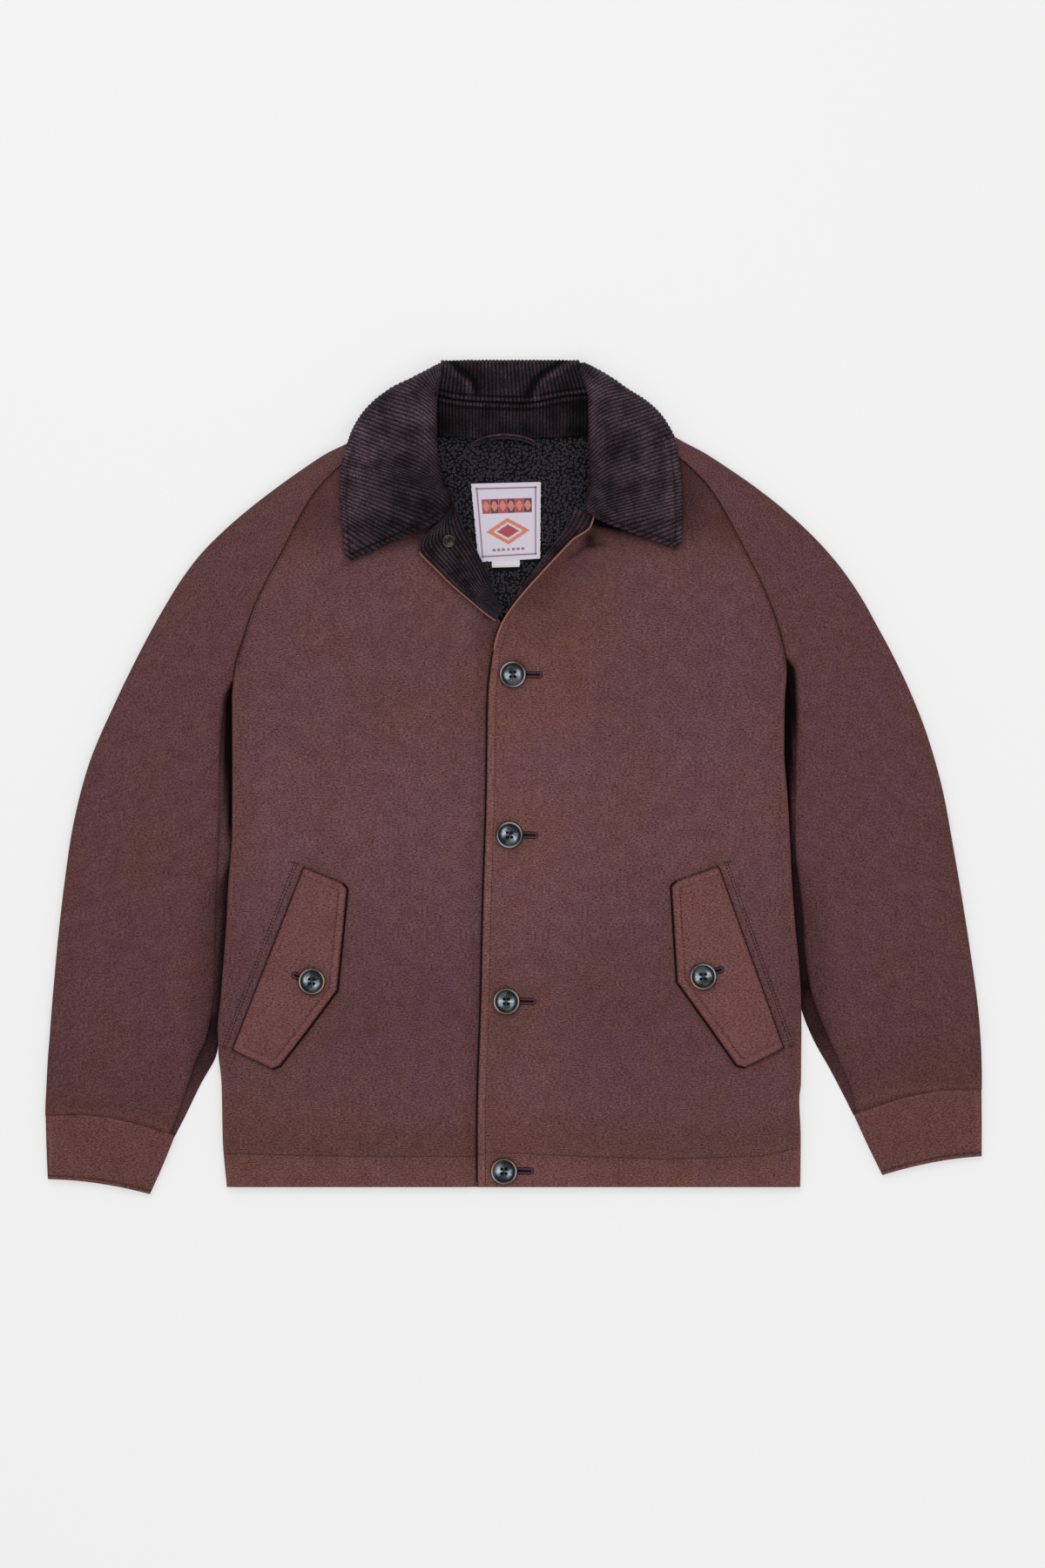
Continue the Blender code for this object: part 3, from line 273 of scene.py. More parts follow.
def cloth(name, outer, inner, finish, ring=False, **marks):
    """A closed wall of cloth between two sheets of points, rows by columns, in mm.

    The inner sheet may have fewer rows; in a ring the last column meets the first.  The UV map
    holds metres along the cloth, and each mark is an attribute of the outer sheet.
    """
    rows, columns = outer.shape[:2]
    step = (rows - 1) // (len(inner) - 1)
    points = np.concatenate([outer.reshape(-1, 3), inner.reshape(-1, 3)]) * MM
    top = np.arange(rows * columns).reshape(rows, columns)
    low = rows * columns + np.arange(inner.shape[0] * columns).reshape(-1, columns)

    if ring:
        top, low = (np.concatenate([sheet, sheet[:, :1]], axis=1) for sheet in (top, low))

    def quads(sheet):
        corners = sheet[:-1, :-1], sheet[:-1, 1:], sheet[1:, 1:], sheet[1:, :-1]
        return np.stack(corners, -1).reshape(-1, 4)

    faces = quads(top).tolist() + quads(low)[:, ::-1].tolist()
    long_rims = () if ring else ((0, 1), (columns - 1, -1))
    for j, turn in long_rims:
        for i in range(len(inner) - 1):
            rim = list(top[i * step:(i + 1) * step + 1, j]) + [low[i + 1, j], low[i, j]]
            faces.append([int(v) for v in rim[::turn]])
    for a, b, turn in ((top[0], low[0], -1), (top[-1], low[-1], 1)):
        for j in range(top.shape[1] - 1):
            faces.append([int(v) for v in (a[j], a[j + 1], b[j + 1], b[j])][::turn])
    mesh = bpy.data.meshes.new(name)
    mesh.from_pydata(points.tolist(), [], faces)
    closed = bmesh.new()
    closed.from_mesh(mesh)
    inside_out = closed.calc_volume(signed=True) < 0
    closed.free()
    if inside_out:
        mesh.flip_normals()

    def on_both(values):
        """Values of the outer sheet, then of its rows that the inner one has."""
        return np.concatenate([values.ravel(), values[::step].ravel()])

    width, length = (np.cumsum(np.linalg.norm(np.diff(outer, axis=axis, prepend=first), axis=-1),
                               axis=axis)
                     for axis, first in ((1, outer[:, :1]), (0, outer[:1])))
    spot = np.stack([on_both(width), on_both(length)], -1) * MM
    corners = np.empty(len(mesh.loops), int)
    mesh.loops.foreach_get("vertex_index", corners)
    mesh.uv_layers.new(name="cloth").data.foreach_set("uv", spot[corners].ravel())
    marked(mesh, **{mark: on_both(np.broadcast_to(values, (rows, columns)))
                    for mark, values in marks.items()})
    mesh.shade_smooth()
    mesh.set_sharp_from_angle(angle=math.radians(55))
    mesh.materials.append(finish)
    return placed(name, mesh)


def sewn_in(piece, slot, *nodes):
    """The piece lies where the jacket does and stands for these solids."""
    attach(piece, "root")
    if nodes:
        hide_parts(*nodes)
    return piece


def add(tree, kind, inputs=None, **settings):
    """A node of this kind: its settings, and its inputs as values or as sockets to link."""
    made = tree.nodes.new(kind)
    for name, value in settings.items():
        setattr(made, name, value)
    for key, value in (inputs or {}).items():
        if isinstance(value, bpy.types.NodeSocket):
            tree.links.new(value, made.inputs[key])
        else:
            made.inputs[key].default_value = value
    return made


def computed(tree, operation, *values, clamp=False):
    """What a Math node makes of numbers and sockets."""
    return add(tree, "ShaderNodeMath", dict(enumerate(values)), operation=operation,
               use_clamp=clamp).outputs[0]


def spread(tree, value, low, high, to_low=0.0, to_high=1.0):
    """A value between low and high, spread over another range and held at its ends."""
    return add(tree, "ShaderNodeMapRange", {
        "Value": value, "From Min": low, "From Max": high, "To Min": to_low,
        "To Max": to_high}).outputs[0]


def noise(tree, place, scale, detail, roughness=0.5):
    """Clouds at a place, finer with the scale."""
    return add(tree, "ShaderNodeTexNoise", {"Vector": place, "Scale": scale, "Detail": detail,
                                            "Roughness": roughness}).outputs["Fac"]


def painted(tree, mark):
    """The mark that the mesh carries under this name."""
    return add(tree, "ShaderNodeAttribute", attribute_name=mark).outputs["Fac"]


def mixed(tree, share, a, b):
    """Colour a where the share is 0 and b where it is 1."""
    return add(tree, "ShaderNodeMix", {0: share, 6: a, 7: b}, data_type="RGBA").outputs[2]


def dimmed(tree, colour, share):
    """The colour times its share of light."""
    return add(tree, "ShaderNodeVectorMath", {0: colour, 3: share}, operation="SCALE").outputs[0]


def bumped(tree, shader, height, strength, distance):
    """The height stands out of the surface, by this distance in metres."""
    bump = add(tree, "ShaderNodeBump", {"Height": height, "Strength": strength,
                                        "Distance": distance})
    tree.links.new(bump.outputs[0], shader.inputs["Normal"])


def waxed_cotton(name, face, brown, copper):
    """Close plain weave soaked in wax, which gives a matt cloth with a faint bloom, clouded
    with brown where the wax has moved, rubbed to copper along its sharpest edges."""
    material, tree, shader = new_material(name, face, 0.62, 0.18, 0.02)
    shader.inputs["Sheen Roughness"].default_value = 0.5
    place = add(tree, "ShaderNodeTexCoord").outputs["Object"]
    spot = add(tree, "ShaderNodeUVMap", uv_map="cloth").outputs["UV"]
    moved = spread(tree, noise(tree, place, 14.0, 6.0, 0.6), 0.40, 0.68, 0.0, 0.6)
    rub = painted(tree, "worn")
    brownish = computed(tree, "ADD", moved, rub, clamp=True)
    base = mixed(tree, brownish, linear(face), linear(brown))
    rubbed = mixed(tree, spread(tree, rub, 1.0, 2.0), base, linear(copper))
    # The yarns are 0.4 mm apart, too fine to show, so the grain is drawn about 1.3 mm across
    # and twice as long along the weft.
    stretched = add(tree, "ShaderNodeMapping", {"Vector": spot, "Scale": (420.0, 840.0, 1.0)})
    grain = noise(tree, stretched.outputs[0], 1.0, 3.0, 0.8)
    tone = spread(tree, grain, 0.33, 0.67, 0.14, 1.86)
    # The shade mark is painted shade, painted light where below 0; it dims the gloss too
    kept = computed(tree, "MAXIMUM", computed(tree, "SUBTRACT", 1.0, painted(tree, "shade")), 0.03)
    tree.links.new(computed(tree, "MULTIPLY", kept, 0.18), shader.inputs["Specular IOR Level"])
    mottle = spread(tree, noise(tree, place, 75.0, 5.0, 0.7), 0.3, 0.7, 0.83, 1.17)
    # Pale specks are greyer than the cloth and dark ones redder, as the wax lies on the yarns.
    speck = computed(tree, "MULTIPLY_ADD", tone, mottle, -1.0)
    tint = computed(tree, "MULTIPLY_ADD", speck, 0.5, 1.0)
    spotted = add(tree, "ShaderNodeVectorMath",
                  {0: rubbed, 1: tint, 2: computed(tree, "MULTIPLY", speck, 0.03)},
                  operation="MULTIPLY_ADD")
    held = add(tree, "ShaderNodeVectorMath", {0: dimmed(tree, spotted.outputs[0], kept),
                                              1: (0.003, 0.002, 0.002)}, operation="MAXIMUM")
    tree.links.new(held.outputs[0], shader.inputs["Base Color"])
    bumped(tree, shader, grain, 0.35, 0.0004)
    return material


body_cloth = waxed_cotton("waxed_cotton_burgundy", "#5B393F", "#5D3934", "#9A6650")

# A front's mesh: its rows from hem to neck, and the steps from its centre edge in mm, then as
# shares of what is left, all finer where stitches sink and edges round
front_rows = np.concatenate([np.arange(hem_y, -362, 1.8), np.arange(-362, -340, 1.1),
                             np.linspace(-340, 90, 139)[:-1], np.linspace(90, 337, 98)])
near_edge = np.array([0, 0.25, 0.7, 1.4, 2.4, 4.0, 5.4, 6.3, 7.2, 8.1, 9.0, 11, 13.5, 16.5, 20,
                      24, 28])
far_edge = np.concatenate([np.linspace(0, 0.86, 74)[1:],
                           0.86 + 0.14 * np.sin(0.5 * math.pi * np.linspace(0, 1, 15)[1:])])
# columns: x, y of the hem's row of stitches, wearer's right to left
hem_row = np.array(((-268.0, -345.6), (-262.0, -345.6), (-141.0, -348.2), (-36.0, -348.2),
                    (-23.6, -344.4), (73.2, -348.4), (141.0, -350.8), (228.0, -347.6),
                    (262.0, -340.0)))


def hem_stitch_y(x):
    """y of the hem's row of stitches."""
    return np.interp(x, hem_row[:, 0], hem_row[:, 1])


def front_sheet(side):
    """Points of a front's face, its distances from the centre edge and from the outer one."""
    y = front_rows[:, None]
    centre = read(centre_edges, y, 1 if side > 0 else 2)
    placket = read(centre_edges, y, 1)
    length = np.abs(body_edge(y, side) - centre)
    scale = np.minimum(1.0, length / 60)
    from_centre = np.concatenate([near_edge * scale, near_edge[-1] * scale
                                  + (length - near_edge[-1] * scale) * far_edge], axis=1)
    x = centre + side * from_centre
    y = np.broadcast_to(y, x.shape)
    from_edge = length - from_centre
    z = front_height(x, y)
    on_side = ease((armpit_y - y) / 10)
    along_seam = unevenness(x, y, 9, 21)
    z = z - (1 - on_side) * (0.8 - 0.7 * rounding(from_edge, 2.2))
    z = z + 0.16 * along_seam * bell(from_edge - 4, 12) * (1 - on_side)
    hem_line = y - hem_stitch_y(x)
    z = z - 0.40 * bell(hem_line, stitch_groove) + 0.14 * along_seam * bell(hem_line + 4, 14)
    z = z - 0.8 * (1 - rounding(y - hem_y + 0.3, 2.0))
    if side > 0:
        z = z - 1.0 * (1 - rounding(from_centre, 1.6))
        z = z - (0.40 * bell(from_centre - placket_stitch, stitch_groove)
                 * ease((150 - y) / 20))
        z = z + 0.12 * along_seam * bell(from_centre - 4, 9)
    else:
        lapped = ease((170 - y) / 15)
        early = 9 * ease((y - 100) / 15)
        z = z - lap * lapped * ease((x - placket + 14 + early) / 12)
    return grid(x, y, z), from_centre, from_edge


# Pocket flaps, top to bottom, on the fronts, which carry a painted shadow along their edge.
# columns: x, y of the sewn edge; x, y of the free edge
flaps = {
    -1: np.array(((-191.6, -82.8, -157.0, -97.2), (-193.2, -86.8, -152.2, -103.0),
                  (-210.0, -129.6, -156.4, -146.0), (-228.0, -175.6, -161.4, -195.6),
                  (-243.0, -213.8, -187.0, -230.0), (-254.6, -243.4, -213.6, -264.6),
                  (-257.4, -250.6, -220.8, -267.8))),
    1: np.array(((187.6, -82.0, 150.0, -95.2), (189.2, -86.2, 144.8, -100.6),
                 (203.6, -126.4, 147.2, -140.0), (219.6, -170.8, 150.2, -188.2),
                 (233.6, -210.0, 178.0, -226.6), (244.8, -241.2, 204.6, -264.4),
                 (247.6, -249.0, 212.6, -266.4)))}


def away_from(path, x, y):
    """Distance to the nearest point of a line through these points."""
    nearest = np.full(np.shape(x), np.inf)
    for (x0, y0), (x1, y1) in zip(path[:-1], path[1:]):
        span = (x1 - x0) ** 2 + (y1 - y0) ** 2
        t = np.clip(((x - x0) * (x1 - x0) + (y - y0) * (y1 - y0)) / span, 0, 1)
        nearest = np.minimum(nearest, np.hypot(x - x0 - t * (x1 - x0), y - y0 - t * (y1 - y0)))
    return nearest


def flap_rows(side, t):
    """Rows of a flap, top to bottom: x, y of the sewn edge and x, y of the free edge."""
    known = -flaps[side][:, 1]
    return np.stack([np.interp(lerp(known[0], known[-1], t), known, column)
                     for column in flaps[side].T], -1)


def flap_outline(side):
    """The flap's free edges, from the top of its seam round to the bottom of it."""
    rows = flap_rows(side, np.linspace(0, 1, 121))
    return np.concatenate([rows[:1, 0:2], rows[:, 2:4], rows[-1:, 0:2]])


# Patches where handling has turned the wax brown: x, y, width, height, strength
patches = (
    (28, 166, 40, 60, 0.9), (52, 204, 50, 30, 0.8),
    (4, 93, 60, 46, 0.7), (2, -53, 60, 46, 0.7), (0, -205, 60, 46, 0.7), (10, -350, 90, 50, 0.5),
    (40, 76, 130, 70, 0.5), (-80, 62, 90, 60, 0.35), (-225, -318, 90, 80, 0.7),
    (190, 238, 110, 120, 0.7), (-185, 240, 110, 120, 0.6), (60, 140, 110, 70, 0.45),
    (-66, 130, 60, 90, 0.3), (24, 137, 80, 50, 0.5))


def rubbed(x, y):
    """How brown the cloth is on the patches."""
    total = 0.0
    for px, py, wide, high, strength in patches:
        total = total + strength * np.exp(-((x - px) / (0.6 * wide)) ** 2
                                          - ((y - py) / (0.6 * high)) ** 2)
    return total * (0.8 + 0.3 * unevenness(x, y, 46, 33))


for side, name in both_sides:
    outer, from_centre, from_edge = front_sheet(side)
    x, y = outer[..., 0], outer[..., 1]
    from_flap = away_from(flap_outline(side)[::2], x, y)
    from_placket = read(centre_edges, y, 1) - x
    hem_line = y - hem_stitch_y(x)
    below_neck, above_armpit = ease((150 - y) / 20), ease((y - armpit_y) / 10)
    # Wax turned brown: at the hem, round the pocket and on the patches
    worn = (0.5 * np.exp(-(y - hem_y) / 30) + 0.5 * bell(hem_line - 14, 50)
            + 0.3 * np.exp(-from_edge / 8) + 0.35 * bell(from_flap - 3, 12) + rubbed(x, y))
    # Painted shade in the hem's stitches and round the flap, then broad painted shade and light
    shade = (0.12 * bell(hem_line, stitch_groove) + 0.30 * bell(from_flap + 0.4, 4.4) - 0.06
             - 0.07 * ease(-hem_line / 2) + 0.14 * bell(hem_line - 14, 40)
             + 0.06 * ease((y + 20) / 100) + 0.18 * bell(y + 215, 190)
             + 0.10 * bell(np.hypot(x - 24, y - 137), 60)
             + 0.34 * ease((y - 190) / 50) * ease((np.abs(x) - 90) / 60))
    # Its outer edge: painted shade in the raglan seam, painted light above the slot by the sleeve
    shade = shade + (0.28 * bell(from_edge + 0.5, 4) * above_armpit
                     - 0.25 * bell(from_edge - 1.5, 5) * ease((armpit_y - y) / 10))
    # Painted shadow under the collar leaf's lower edge, widest and deepest at the gorge
    under_leaf = away_from(((72, 238), (146, 210)) if side > 0
                           else ((-60, 234), (-97, 217), (-154, 194)), x, y)
    gorge = 1 - ease((np.abs(x) - 70) / 60)
    shade = shade + (0.25 + 0.65 * gorge) * bell(under_leaf, 9 + 9 * gorge)
    if side > 0:
        # The left front: its copper edge at the neck; painted shade by the gorge, near the collar,
        # along the placket's edge and stitches; painted light on the placket
        on_placket = ease((118 - y) / 12)
        worn = worn + 0.45 * np.exp(-(from_centre / 26) ** 2) * ease((130 - y) / 30)
        worn = np.minimum(worn, 0.9) + 1.6 * bell(from_centre, 2.0) * ease((y - 112) / 12)
        dent = away_from(((52, 200), (66, 210.5), (84, 212.5)), x, y)
        shade = shade + (0.55 * np.exp(-((x - 70.5) / 6) ** 2 - ((y - 217) / 7) ** 2)
                         + 0.36 * np.exp(-(from_centre / 42) ** 2) * ease((y - 140) / 30)
                         + 0.28 * bell(dent, 5)
                         + 0.12 * bell(from_centre - placket_stitch, 2.0) * below_neck
                         + 0.75 * bell(from_centre + 0.2, 1.8) * on_placket
                         - 0.12 * ease((130 - from_centre) / 90) * ease((150 - y) / 40)
                         - 0.22 * ease((9 - from_centre) / 3) * on_placket
                         + 0.30 * bell(from_centre - 60, 70) * ease((y - 196) / 30))
    else:
        # The right front: painted shade beside the placket that laps it, below the lapel and along
        # it
        beside_placket = ease((150 - y) / 12)
        lapel_side = away_from(((-84, 214), (-86, 206), (-82, 199), (-69, 186), (-56, 173),
                                (-37, 157), (-24, 146)), x, y)
        worn = np.minimum(worn, 0.9)
        shade = shade + (0.80 * bell(from_placket + 0.3, 4.0) * beside_placket
                         + 0.08 * bell(from_placket, 26) * beside_placket
                         + 0.30 * bell(x + 20, 24) * bell(y - 132, 60)
                         + 0.42 * bell(lapel_side, 7))
    front = cloth("front_cloth_" + name, outer, wall(outer, panel_wall)[::4], body_cloth,
                  worn=worn, shade=shade)
    sewn_in(front, "waxed_cotton", "front_" + name)

# --- Back ----------------------------------------------------------------------------------
# One panel of the same cloth.  It lies flat on the surface, turns up at the sides to meet the
# fronts, and passes over the part of the collar that is folded under the neck.

fall = 3.0
# columns: x, y of the collar's fold under the neck, y of its free edge
back_fall = np.array((
    (-146, 320, 312), (-132, 340, 306), (-113, 355, 302), (-89, 367, 299), (-66, 379.5, 297),
    (0, 381.5, 295), (64, 380, 297), (86, 368, 299), (106, 354.5, 302), (125, 342, 305),
    (141, 322, 311)))


def crowded(count):
    """Steps from 0 to 1 that lie closer to each other at both ends."""
    return 0.5 - 0.5 * np.cos(math.pi * np.linspace(0, 1, count))


def floor_lift(x, y):
    """The back lies over the collar's hidden part, and on the surface everywhere else."""
    reach = ease((205 - np.abs(x)) / 30)
    return (fall + 0.45) * ease((y - (read(back_fall, x, 2) - 54)) / 36) * reach


y = np.concatenate([np.arange(hem_y, 90, 7.0), np.arange(90, 337, 5.0), [337.0]])[:, None]
on_side = ease((armpit_y - y) / 10)
right, left = body_edge(y, -1), body_edge(y, 1)
x = lerp(right, left, crowded(65))
y = np.broadcast_to(y, x.shape)
seam_z = np.minimum(read(front_heights, y, 2), 7.3) - 0.15
seam_z = np.where(on_side < 0.5, floor_lift(x, y) + 0.4, seam_z)
inside = rounding(np.minimum(x - right, left - x), lerp(3.0, 8.0, on_side))
outer = grid(x, y, lerp(seam_z, floor_lift(x, y), inside))
back = cloth("back_cloth", outer, wall(outer, -panel_wall), body_cloth,
             worn=0.7 * np.exp(-(y - hem_y) / 30))
sewn_in(back, "waxed_cotton", "back")

# --- Sleeves -------------------------------------------------------------------------------
# Raglan sleeves, each an upper and an under piece of the same cloth.  The under piece lies
# flat and shows a little beyond the upper one along the inner edge.

sleeve_seam_z = 6.0
# columns: outer x, y; front x, y; under x, y; crown; bow of the section towards the shoulder
sleeves = {
    -1: np.array((
        (-334, 131, -257.6, 86, -257.6, 86, 13.4, 0), (-350, 100, -263, 66, -259.5, 66, 13.2, 0),
        (-369, 60, -268, 38, -258.8, 38, 13.0, 0), (-394, -1, -270, -14, -256.6, -14, 12.6, 0),
        (-407, -62, -271, -68, -257.8, -68, 12.4, 0),
        (-415, -123, -273.5, -126, -261.4, -126, 12.2, 0),
        (-421, -180, -274, -182, -265.2, -182, 12.0, 1),
        (-425, -232, -279, -230, -270.6, -230, 11.8, 3),
        (-426.8, -252, -288.2, -252, -271.2, -252, 11.5, 4.6),
        (-428.2, -276, -296.8, -277, -284.4, -277, 11.1, 6.4),
        (-429.4, -300, -307, -306, -300.0, -309, 10.2, 8),
        (-429.6, -311.6, -315.8, -329.4, -311.0, -330.6, 9.0, 7.8))),
    1: np.array((
        (334, 138, 251.4, 93, 251.0, 93, 13.4, 0), (351, 106, 254.6, 76, 250.0, 76, 13.2, 0),
        (370, 64, 258.6, 48, 247.6, 48, 13.0, 0), (389, 9, 258.8, 2, 248.6, 2, 12.6, 0),
        (402, -55, 258.2, -58, 252.4, -58, 12.4, 0),
        (413, -119, 264.5, -120, 256.0, -120, 12.2, 1),
        (422, -178, 269.4, -180, 261.0, -180, 12.0, 2),
        (427.6, -222, 281, -220, 265.6, -220, 11.8, 4),
        (429.6, -258, 297, -256, 284.6, -257, 11.2, 6),
        (430, -277, 308, -281, 300.4, -287, 10.2, 7),
        (430, -286.9, 315.8, -309.8, 312.4, -310.9, 9.0, 6.8)))}
# Outer fold of the sleeves above the armpits, neck to sleeve: x, y right; x, y left
shoulders = np.array((
    (-100, 345, 106, 345), (-115, 333, 119, 334), (-132, 318, 134, 320), (-152, 306, 153, 309),
    (-174, 295, 177, 296), (-218, 264.6, 223, 265), (-258, 232.6, 262, 233),
    (-290, 200.6, 293, 201), (-312.4, 168.6, 316.4, 169), (-334, 131, 334, 138)))
raglan_y = np.array((337, 312, 286, 262, 236, 208, 184, 161, 141, 122, 98.0))


def along(table, t):
    """Every column of a table at t from 0, its first row, to 1, its last, on a smooth curve."""
    place = np.clip(np.asarray(t, float), 0.0, 1.0) * (len(table) - 1)
    i = np.minimum(place.astype(int), len(table) - 2)
    f = (place - i)[..., None]
    a, b, c, d = (table[np.clip(i + k, 0, len(table) - 1)] for k in (-1, 0, 1, 2))
    return 0.5 * (2 * b + (c - a) * f + (2 * a - 5 * b + 4 * c - d) * f * f
                  + (3 * b - a - 3 * c + d) * f ** 3)


def evenly(points, count):
    """The curve through these points, at equal steps of its length."""
    fine = along(np.asarray(points, float), np.linspace(0, 1, 400))
    run = np.concatenate([[0], np.cumsum(np.linalg.norm(np.diff(fine, axis=0), axis=1))])
    return np.stack([np.interp(np.linspace(0, run[-1], count), run, fine[:, k])
                     for k in range(fine.shape[1])], -1)


def sleeve_sections(side):
    """Sections of a sleeve from the neck to the cuff, with 1 in the last column on the raglan."""
    outer = evenly(shoulders[:, 2:] if side > 0 else shoulders[:, :2], len(raglan_y) + 1)[:-1]
    seam_x = body_edge(raglan_y, side) + side * 0.15
    seam = np.stack([seam_x, raglan_y], -1)
    extra = np.tile((13.6, 0.0, 1.0), (len(raglan_y), 1))
    raglan = np.concatenate([outer, seam, seam, extra], axis=1)
    table = along(sleeves[side], np.linspace(0, 1, 13))
    rows = np.concatenate([raglan, np.pad(table, ((0, 0), (0, 1)))])
    fine = along(rows, np.linspace(0, 1, 8 * (len(rows) - 1) + 1))
    on_seam = fine[:, 3] > armpit_y
    for column in (2, 4):
        fine[on_seam, column] = body_edge(fine[on_seam, column + 1], side) + side * 0.15
    return fine


def sleeve_points(rows, ends_at, u):
    """Plan of a sleeve's face: distances from its outer and its inner edge, and its points."""
    start, end = rows[:, None, 0:2], rows[:, None, ends_at:ends_at + 2]
    reach = np.linalg.norm(end - start, axis=-1)
    run = (end - start) / reach[..., None]
    across = np.stack([-run[..., 1], run[..., 0]], -1)
    across = across * np.where(across[..., 1:] < 0, -1, 1)
    bow = rows[:, None, 7, None]
    place = start + run * (reach * u)[..., None] + across * bow * (4 * u * (1 - u))[..., None]
    return place[..., 0], place[..., 1], reach * u, reach * (1 - u), reach


# The slot below each armpit is in deep shade.
# columns: y, its width from the body's side, the width over which it fades
slot_shades = {
    -1: np.array(((-330, 0, 5), (-240, 1, 6), (-215, 2, 7.5), (-191, 2, 11), (-167, 2.5, 11),
                  (-135, 4, 8), (-103, 4.5, 8), (-71, -3, 10), (-39, 2.8, 7.5), (-7, 4.2, 9),
                  (22, 6, 9), (70, 4, 9), (80, 2, 6), (90, -2, 4))),
    1: np.array(((-330, 0, 5), (-215, 2, 8), (-191, 7, 5), (-167, 3.5, 10), (-130, 5, 9),
                 (-103, 4.5, 7.5), (-71, 1, 6), (-39, 0.5, 7), (9, 5.5, 8), (57, 9, 7),
                 (97, 5, 7), (105, 2, 5), (112, -2, 3)))}
# How deep the under sleeve lies in shade beside the body: distances below y = 0, and shades
under_shades = {-1: ((200, 222, 236, 247, 263, 300), (0.15, 0.84, 0.84, 0.70, 0.66, 0.34)),
                1: ((50, 80, 180, 192, 206, 235, 247, 300),
                    (0.15, 0.80, 0.80, 0.92, 0.76, 0.74, 0.60, 0.30))}


def slot_shade(x, y, side):
    """Shade that the body's side throws on the sleeve beside it."""
    deep, fading = (read(slot_shades[side], y, column) for column in (1, 2))
    beside = side * (x - body_edge(y, side))
    below = ease((slot_shades[side][-1, 0] - y) / 4)
    darkest = lerp(0.96, 0.85, ease((-60 - y) / 40))
    return darkest * (1 - ease((beside - deep) / fading)) * below


u = crowded(49)[None, :]
for side, name in both_sides:
    rows = sleeve_sections(side)
    raglan = np.clip(rows[:, None, 8], 0, 1)
    x, y, from_fold, from_seam, reach = sleeve_points(rows, 2, u)
    level = rows[:, None, 6] + creased(x, y) + 0.25 * unevenness(x, y, 46, 31)
    fold_in = rounding(from_fold, np.minimum(30, 0.4 * reach))
    z = lerp(sleeve_seam_z + 0.15, level, fold_in)
    seam_z = lerp(5.4, read(front_heights, rows[:, None, 3], 2) + 0.15, raglan)
    z = lerp(seam_z, z, rounding(from_seam, np.minimum(20, 0.3 * reach)))
    pucker = unevenness(x, y, 9, 22)
    z = z - raglan * (0.8 - 0.7 * rounding(from_seam, 2.2))
    z = z + 0.16 * raglan * pucker * bell(from_seam - 4, 12)
    to_cuff = np.cumsum(np.linalg.norm(np.diff(rows[::-1, 0:2], axis=0), axis=1))[::-1]
    to_cuff = np.append(to_cuff, 0)[:, None]
    z = z - 0.5 * (1 - rounding(to_cuff + 0.2, 2.0)) + 0.14 * pucker * bell(to_cuff - 5, 14)
    outer = grid(x, y, z)
    worn = (0.3 * np.exp(-from_fold / 8) + 0.5 * raglan * bell(from_seam, 10)
            + 0.7 * np.exp(-to_cuff / 18) + 0.15)
    # Painted shade all over, in the seams, towards the cuff and beside the body below the armpit;
    # painted light just above the cuff seam and along the inner edge high on the sleeve
    shade = 0.12 + (0.28 * raglan * bell(from_seam + 0.5, 4) + 0.25 * bell(to_cuff, 2)
                    - 0.12 * bell(to_cuff - 2.5, 2.5) + 0.10 * np.exp(-to_cuff / 90)
                    - (1 - raglan) * lerp(0.25, -0.05, ease((-60 - y) / 60)) * bell(from_seam, 5))
    beside = side * (x - body_edge(y, side))
    shade = shade + 0.22 * (1 - ease((beside - 12) / 26)) * ease((-70 - y) / 50)
    shade = np.maximum(shade, slot_shade(x, y, side))
    upper = cloth("sleeve_cloth_upper_" + name, outer, wall(outer, panel_wall), body_cloth,
                  worn=worn, shade=shade)
    sewn_in(upper, "waxed_cotton", "sleeve_upper_" + name)
    # Below the armpit its inner edge runs under the body's side, thinner there
    rows = rows.copy()
    tucked = ease((106 - rows[:, 5]) / 10) * ease((rows[:, 5] + 190) / 60)
    gap = side * (rows[:, 4] - body_edge(rows[:, 5], side))
    rows[:, 4] -= side * tucked * np.where(gap < 4, np.maximum(gap, 0) + 1.5, 0)
    x, y, from_fold, from_seam, reach = sleeve_points(rows, 4, u[:, ::2])
    lift = floor_lift(x, y)
    z = lerp(sleeve_seam_z - 0.15, lift, rounding(from_fold, np.minimum(9, 0.4 * reach)))
    z = z + 0.1 * (1 - rounding(from_seam, 3.0))
    outer = grid(x, y, z)
    thin = lerp(0.9, 2.2, ease((from_seam - 2) / 6))[..., None]
    shade = np.maximum(np.interp(-y, *under_shades[side]), slot_shade(x, y, side))
    under = cloth("sleeve_cloth_under_" + name, outer, wall(outer, -thin), body_cloth, worn=0.3,
                  shade=shade)
    sewn_in(under, "waxed_cotton", "sleeve_under_" + name)

# --- Cuffs ---------------------------------------------------------------------------------
# Each cuff is a strip of the cloth sewn into a ring on the sleeve's end and pressed flat, its
# lower edge turned in.

trim_cloth = waxed_cotton("waxed_cotton_burgundy_rubbed", "#643C3D", "#5F3A35", "#9A6650")

# columns: outer x, y; inner x, y; bow of the section towards the shoulder; height
cuffs = {
    -1: np.array(((-429.4, -310.4, -310.6, -329.4, 8.0, 8.4),
                  (-428.6, -342, -322.0, -357.5, 6.0, 7.8),
                  (-427.4, -369.4, -333.6, -383.2, 3.0, 7.0))),
    1: np.array(((429.8, -285.6, 312.2, -309.6, 7.0, 8.4),
                 (430, -318, 325.6, -339.0, 5.0, 7.8),
                 (430, -348.4, 338.8, -365.8, 3.0, 7.0)))}
cuff_wall = 2.6
cuff_depth = 58
cuff_stitch = 5.2


